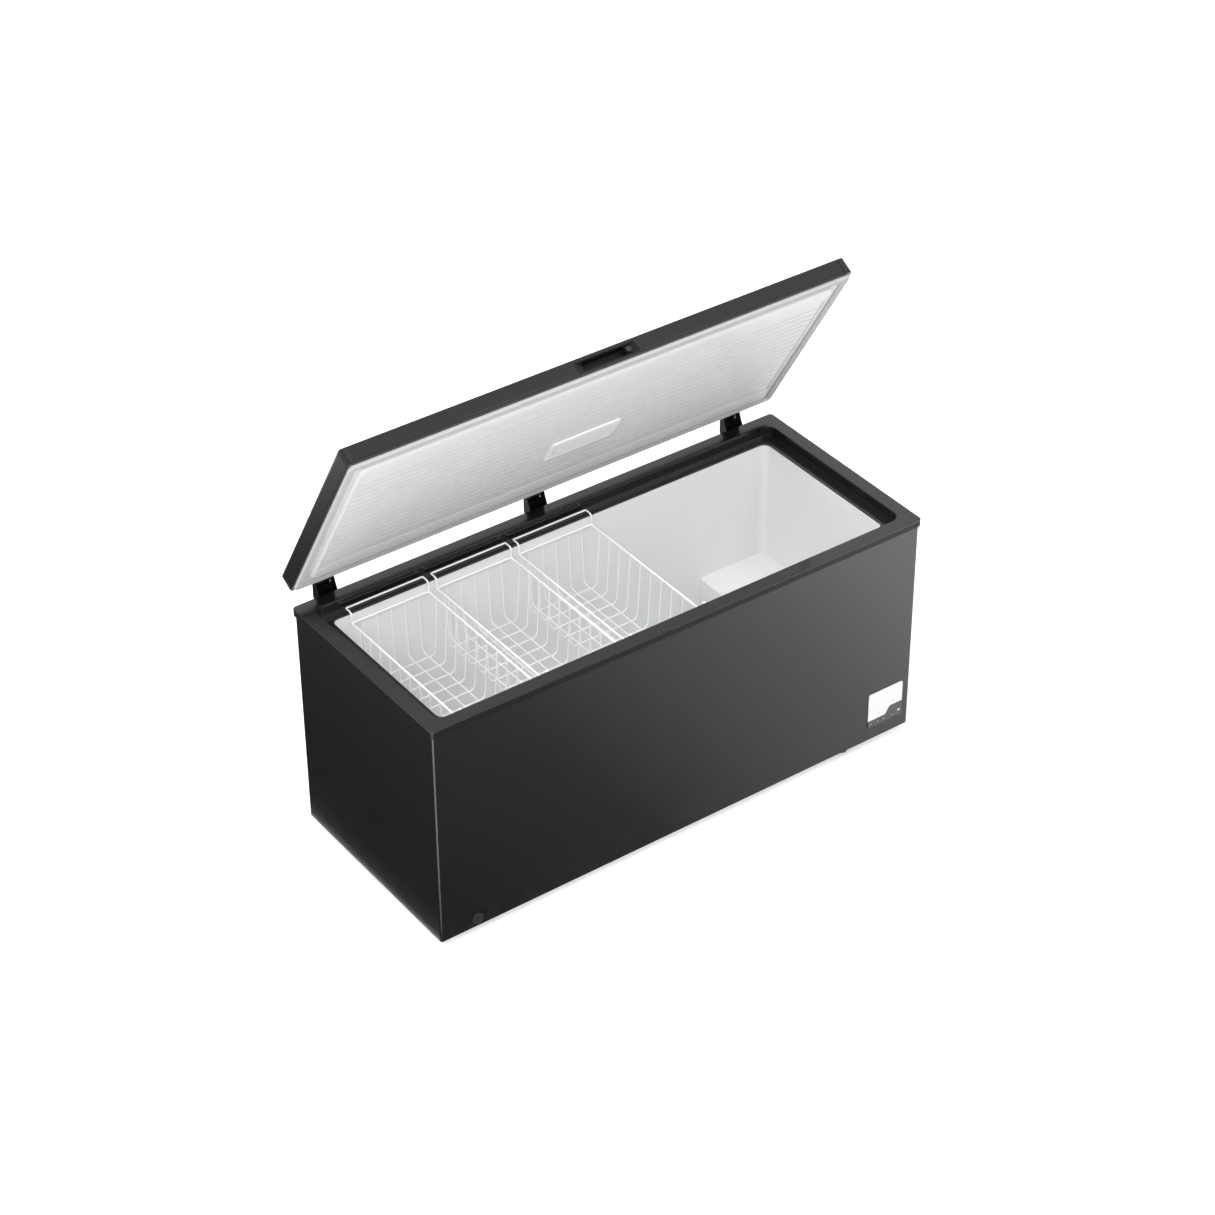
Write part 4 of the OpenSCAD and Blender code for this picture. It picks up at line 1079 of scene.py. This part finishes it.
@dataclass
class Basket:
    """One wire basket with its hanger bars."""

    cabinet: Cabinet
    side: str
    body: Body
    width: float = 255 * MM
    depth: float = 526 * MM
    frame_r: float = 2.75 * MM
    mesh_r: float = 1.5 * MM
    lean: float = 11 * MM
    chamfer: float = 9 * MM
    cross_pitch: float = 49 * MM
    long_pitch: float = 45 * MM
    hanger_h: float = 34 * MM
    frame_bend: float = 9 * MM
    hanger_bend: float = 3.2 * MM
    hanger_slope: float = 7 * MM
    mesh_bend: float = 5 * MM

    def make(self) -> None:
        """Bends and joins the wires."""
        low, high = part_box(f"basket_{self.side}")
        x, y = (low[0] + high[0]) / 2, (low[1] + high[1]) / 2
        bar_z = high[2] - self.frame_r
        frame_z = bar_z - self.hanger_h
        floor_z = low[2] + self.mesh_r
        on_top = floor_z + 2 * self.mesh_r
        bar_y = (high[1] - low[1]) / 2 - self.frame_r
        half_x, half_y = self.width / 2 - self.frame_r, self.depth / 2 - self.frame_r
        wires = WireWork()
        corners = [(sx * half_x, sy * half_y) for sx, sy in ((1, 1), (-1, 1), (-1, -1), (1, -1))]
        loop = [(x, y + half_y), *((x + cx, y + cy) for cx, cy in corners[1:]),
                (x + half_x, y - half_y), (x + half_x, y + half_y), (x, y + half_y)]
        path = eased([(px, py, frame_z) for px, py in loop], self.frame_bend)
        wires.add(path[:-1], self.frame_r, closed=True)
        for way in (-1, 1):
            post_y, end_y = y + way * (half_y - 1 * MM), y + way * bar_y
            hook = [(-half_x, post_y, frame_z), (-half_x, post_y, bar_z - self.hanger_slope),
                    (-half_x, post_y + way * self.hanger_slope, bar_z), (-half_x, end_y, bar_z)]
            there = [(x + px, py, pz) for px, py, pz in hook]
            back = [(x - px, py, pz) for px, py, pz in reversed(hook)]
            wires.add(eased(there + back, self.hanger_bend), self.frame_r)
        cross = int((self.depth - 2 * self.frame_r - 2 * self.lean) / self.cross_pitch)
        for row in range(cross):
            at = y + (row - (cross - 1) / 2) * self.cross_pitch
            wires.add([(x + px, at, pz) for px, pz in self._u(half_x, frame_z, floor_z)],
                      self.mesh_r)
        along = int((self.width - 2 * self.frame_r - 2 * self.lean) / self.long_pitch)
        for column in range(along):
            at = x + (column - (along - 1) / 2) * self.long_pitch
            wires.add([(at, y + py, pz) for py, pz in self._u(half_y, frame_z, on_top)],
                      self.mesh_r)
        node = f"basket_{self.side}"
        Settled(self.body, WIRE, "white_wire", (node,)).object_from(wires.work(), f"{node}_wires")

    def _u(self, half: float, top: float, floor: float) -> list[tuple[float, float]]:
        """A wire's U shape.

        Args:
            half: Half the distance between its tops.
            top: Height of its tops.
            floor: Height of its bottom.

        Returns:
            Distance across and height, along the wire.
        """
        foot = half - self.lean
        side = [(half, top), (foot, floor + self.chamfer), (foot - self.chamfer, floor)]
        both = side + [(-across, up) for across, up in reversed(side)]
        bent = eased([(across, 0.0, up) for across, up in both], self.mesh_bend, 2)
        return [(spot.x, spot.z) for spot in bent]


@dataclass
class ControlPanel:
    """White fascia over a smoked window, with lights and a key."""

    width: float = 126 * MM
    height: float = 121 * MM
    thick: float = 3 * MM
    wave_low: float = 25 * MM
    wave_high: float = 50 * MM
    wave_start: float = -0.02
    wave_end: float = 0.16
    corner: float = 7 * MM
    lights: tuple[float, ...] = (-0.41, -0.2, -0.03)
    key: tuple[float, float] = (51.66 * MM, 20 * MM)

    def __post_init__(self) -> None:
        """Reads where the panel stands."""
        low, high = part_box("panel_window")
        self.x = (low[0] + high[0]) / 2
        self.y = high[1]
        self.z = low[2]
        self.face = (Matrix.Translation((self.x, self.y, self.z))
                     @ Matrix.Rotation(math.radians(90), 4, "X"))

    def wave(self, share: float) -> float:
        """Height of the line between fascia and window, at a share of the width."""
        rise = min(max((share - self.wave_start) / (self.wave_end - self.wave_start), 0.0), 1.0)
        return self.wave_low + (self.wave_high - self.wave_low) * (1 - math.cos(math.pi * rise)) / 2

    def line(self, shift: float) -> list[tuple[float, float]]:
        """The wavy line from left to right, shifted up."""
        steps = 40
        return [((i / steps - 0.5) * self.width, self.wave(i / steps - 0.5) + shift)
                for i in range(steps + 1)]

    def piece(self, work: Work, name: str, finish: Finish, slot: str, *replaces: str,
              bevel: float = 0.0, body: Body = Body.CABINET) -> None:
        """Sets work on the panel's face and settles it."""
        work.moved(self.face)
        Settled(body, finish, slot, replaces, bevel).object_from(work, name)

    def make(self) -> None:
        """Builds the panel."""
        half = self.width / 2
        fascia = Work()
        arcs = [(half - self.corner, self.height - self.corner, 0),
                (-half + self.corner, self.height - self.corner, 90)]
        rounded = [(cx + self.corner * math.cos(math.radians(start + 15 * i)),
                    cy + self.corner * math.sin(math.radians(start + 15 * i)))
                   for cx, cy, start in arcs for i in range(7)]
        fascia.plate(self.line(0.2 * MM) + rounded, 0.0, self.thick)
        self.piece(fascia, "panel_cover", PANEL_WHITE, "panel_white", "panel_fascia",
                   bevel=0.8 * MM)
        window = Work()
        window.plate([(-half, 0.0), (half, 0.0)] + self.line(0.0)[::-1], 0.0, self.thick)
        self.piece(window, "panel_lens", PANEL_DARK, "panel_dark", "panel_window", bevel=0.6 * MM)
        lamps = Work()
        for share in self.lights:
            cap = Plan(1.9 * MM, 1.3 * MM, 1.2 * MM, self.thick - 1 * MM, share * self.width,
                       self.wave_low / 2)
            lamps.loft([cap, cap.grown(0, self.thick + 0.2 * MM),
                        cap.grown(-0.4 * MM, self.thick + 0.4 * MM)], last=True)
        self.piece(lamps, "indicator_caps", GLOW, "indicator", "indicator_lights")
        self.make_key()
        self.make_marks()
        carried(BOARD, "control_board")

    def make_key(self) -> None:
        """The rounded key."""
        key = Work()
        base = Plan(4.5 * MM, 3 * MM, 1.4 * MM, -1 * MM, *self.key)
        key.loft([base, base.grown(0, self.thick + 0.1 * MM),
                  base.grown(-0.5 * MM, self.thick + 0.55 * MM),
                  base.grown(-1.2 * MM, self.thick + 0.6 * MM)], first=True, last=True)
        self.piece(key, "key_cap", PALE_PLASTIC, "pale_plastic", "panel_key", body=Body.KEY)

    def make_marks(self) -> None:
        """Plain marks beside the controls, with no lettering."""
        marks = Work()
        top = self.thick + 0.12 * MM
        for x, y, w, h in ((-25, 40, 9, 1.2), (-25, 43.5, 9, 1.2), (27, 66, 3.4, 3.4),
                           (27, 61, 7, 1.0), (28, 13, 8, 1.2)):
            marks.block(((x - w / 2) * MM, (y - h / 2) * MM, self.thick - 0.5 * MM),
                        ((x + w / 2) * MM, (y + h / 2) * MM, top))
        self.piece(marks, "panel_marks", PANEL_MARK, "pale_plastic")


@dataclass
class Drain:
    """The drain's cap at the front and its stopper in the well."""

    cap_r: float = 18 * MM
    cap_t: float = 5 * MM

    def make(self) -> None:
        """Builds the cap and dresses the stopper and the tube."""
        low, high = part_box("drain_cap")
        x, z = (low[0] + high[0]) / 2, (low[2] + high[2]) / 2
        face = (Matrix.Translation((x, low[1] + self.cap_t, z))
                @ Matrix.Rotation(math.radians(90), 4, "X"))
        cap = Work()
        cap.spun([(0, -16 * MM), (7 * MM, -16 * MM), (7.6 * MM, 0), (self.cap_r, 0),
                  (self.cap_r, 3.2 * MM), (self.cap_r - 0.6 * MM, 4.4 * MM),
                  (self.cap_r - 2 * MM, self.cap_t), (12.5 * MM, self.cap_t),
                  (11.8 * MM, 4.2 * MM), (11 * MM, 3.6 * MM), (0, 3.6 * MM)], 48)
        grip = Plan(11 * MM, 2 * MM, 1.6 * MM, 3 * MM)
        cap.loft([grip, grip.grown(-0.2 * MM, 4.4 * MM), grip.grown(-0.8 * MM, 4.9 * MM)],
                 last=True)
        cap.moved(face)
        Settled(Body.DRAIN_CAP, CAP_PLASTIC, "black_plastic", ("drain_cap",)
                ).object_from(cap, "drain_outlet_cap")
        carried(RUBBER, "drain_stopper")
        carried(PALE_PLASTIC, "drain_tube")


@dataclass
class MachineBay:
    """What stands in the machine compartment, and what it stands on."""

    def make(self) -> None:
        """Dresses the nodes that are kept."""
        carried(COPPER, "evaporator_coil", "condenser_coil", "suction_line", "discharge_line",
                "capillary_tube", "filter_drier")
        carried(COMPRESSOR_PAINT, "compressor_shell")
        carried(RUBBER, "compressor_grommets", "cord_gland", "front_feet")
        carried(BLACK_PLASTIC, "start_relay", "terminal_box", "side_grille", "roller_left",
                "roller_right")
        carried(PALE_PLASTIC, "thermostat_bulb_sleeve")


# ---- the studio ----


@dataclass
class Studio:
    """Floor, lights and camera."""

    camera_at: tuple[float, float, float] = (-4.24564, -5.90562, 5.86225)
    camera_turn: tuple[float, float, float] = (0.943, 0.0047, -0.6267)
    lens: float = 95.4
    sky: float = 0.9
    floor_glow: float = 0.35
    floor_half: float = 30.0

    def make_camera(self) -> None:
        """The camera, at a raised three-quarter view from the left."""
        data = bpy.data.cameras.new("camera")
        data.lens = self.lens
        data.sensor_width = 36.0
        data.clip_end = 100.0
        made = linked("camera", data)
        made.location = self.camera_at
        made.rotation_euler = self.camera_turn
        bpy.context.scene.camera = made

    def sheet(self, name: str, low: Point, high: Point) -> bpy.types.Object:
        """A flat sheet that isn't part of the object.

        Args:
            name: Its name.
            low: Its low corner.
            high: Its high corner, at the same height.

        Returns:
            The sheet.
        """
        work = Work()
        made = bmesh.ops.create_grid(work.bm, x_segments=1, y_segments=1, size=0.5)["verts"]
        bmesh.ops.scale(work.bm, vec=(high[0] - low[0], high[1] - low[1], 1.0), verts=made)
        bmesh.ops.translate(work.bm, vec=(Vector(high) + Vector(low)) / 2, verts=made)
        mesh = bpy.data.meshes.new(name)
        work.bm.to_mesh(mesh)
        work.bm.free()
        sheet = linked(name, mesh)
        return sheet

    def make_floor(self) -> None:
        """A plain white floor."""
        reach = self.floor_half
        floor = self.sheet("floor", (-reach, -reach, 0), (reach, reach, 0))
        recipe = Recipe("studio_floor")
        shader = recipe.node("ShaderNodeBsdfPrincipled", {}, {
            "Base Color": (0.9, 0.9, 0.9, 1.0), "Roughness": 0.9, "Specular IOR Level": 0.1,
            "Emission Color": (1.0, 1.0, 1.0, 1.0), "Emission Strength": self.floor_glow})
        recipe.node("ShaderNodeOutputMaterial", {}, {"Surface": shader.outputs[0]})
        floor.data.materials.append(recipe.material)

    def card(self, name: str, low: Point, high: Point, *stops: tuple[float, float]) -> None:
        """A flat card that shows only in reflections, and grades from left to right.

        Args:
            name: Its name.
            low: Its low corner.
            high: Its high corner.
            stops: Share of its width and brightness, in order.
        """
        card = self.sheet(name, low, high)
        card.visible_camera = card.visible_diffuse = card.visible_shadow = False
        card.visible_transmission = card.visible_volume_scatter = False
        recipe = Recipe(name)
        brightest = max(bright for _, bright in stops)
        ramp = recipe.node("ShaderNodeValToRGB", {
            "stops": [(at, (bright / brightest,) * 3) for at, bright in stops]},
            {"Fac": recipe.axis(0).between(low[0], high[0])})
        shader = recipe.node("ShaderNodeEmission", {}, {"Color": ramp.outputs[0],
                                                        "Strength": brightest})
        recipe.node("ShaderNodeOutputMaterial", {}, {"Surface": shader.outputs[0]})
        card.data.materials.append(recipe.material)

    def light(self, name: str, at: Point, aim: Point, size: tuple[float, float],
              watts: float) -> None:
        """A soft rectangular light that no glossy surface shows.

        Args:
            name: Its name.
            at: Where it hangs.
            aim: The point it faces.
            size: Its width and height.
            watts: Its power.
        """
        data = bpy.data.lights.new(name, "AREA")
        data.shape = "RECTANGLE"
        data.size, data.size_y = size
        data.energy = watts
        made = linked(name, data)
        made.visible_glossy = False
        made.location = at
        made.rotation_euler = (Vector(aim) - Vector(at)).to_track_quat("-Z", "Y").to_euler()

    def make(self) -> None:
        """Sets up the studio."""
        self.make_camera()
        self.make_floor()
        self.card("front_card", (-0.83, -2.0, 0.002), (2.2, -0.37, 0.002),
                  (0.0, 0.03), (0.25, 0.2), (0.55, 1.0), (0.75, 1.9), (1.0, 1.9))
        self.card("corner_card", (-1.9, -1.4, 0.004), (-1.0, -0.6, 0.004), (0.0, 3.5), (1.0, 3.5))
        self.card("rim_card", (1.7, -5.0, 4.9), (4.3, -2.5, 4.9), (0.0, 6.0), (1.0, 6.0))
        self.card("side_card", (-2.4, -0.42, 0.003), (-0.84, 2.0, 0.003),
                  (0.0, 0.8), (0.3, 0.3), (0.6, 0.06), (1.0, 0.02))
        world = bpy.data.worlds.new("studio")
        world.use_nodes = True
        sky = world.node_tree.nodes["Background"]
        sky.inputs["Color"].default_value = (1.0, 1.0, 1.0, 1.0)
        sky.inputs["Strength"].default_value = self.sky
        bpy.context.scene.world = world
        self.light("overhead", (0.0, -0.5, 5.0), (0.0, 0.0, 0.5), (5.0, 4.0), 170.0)
        self.light("upper_left", (-3.5, -2.5, 4.0), (0.5, 0.0, 0.5), (2.0, 2.0), 90.0)
        view = bpy.context.scene.view_settings
        view.view_transform = "Standard"
        view.look = "None"


def main() -> None:
    """Builds the freezer and its studio in order."""
    logging.basicConfig(level=logging.INFO, format="%(message)s", stream=sys.stdout)
    Studio().make()
    cabinet = Cabinet()
    cabinet.make()
    Lid(cabinet).make()
    for side, body in (("left", Body.BASKET_LEFT), ("middle", Body.BASKET_MIDDLE),
                       ("right", Body.BASKET_RIGHT)):
        Basket(cabinet, side, body).make()
    HingeShrouds().make()
    ControlPanel().make()
    Drain().make()
    MachineBay().make()


if __name__ == "__main__":
    main()
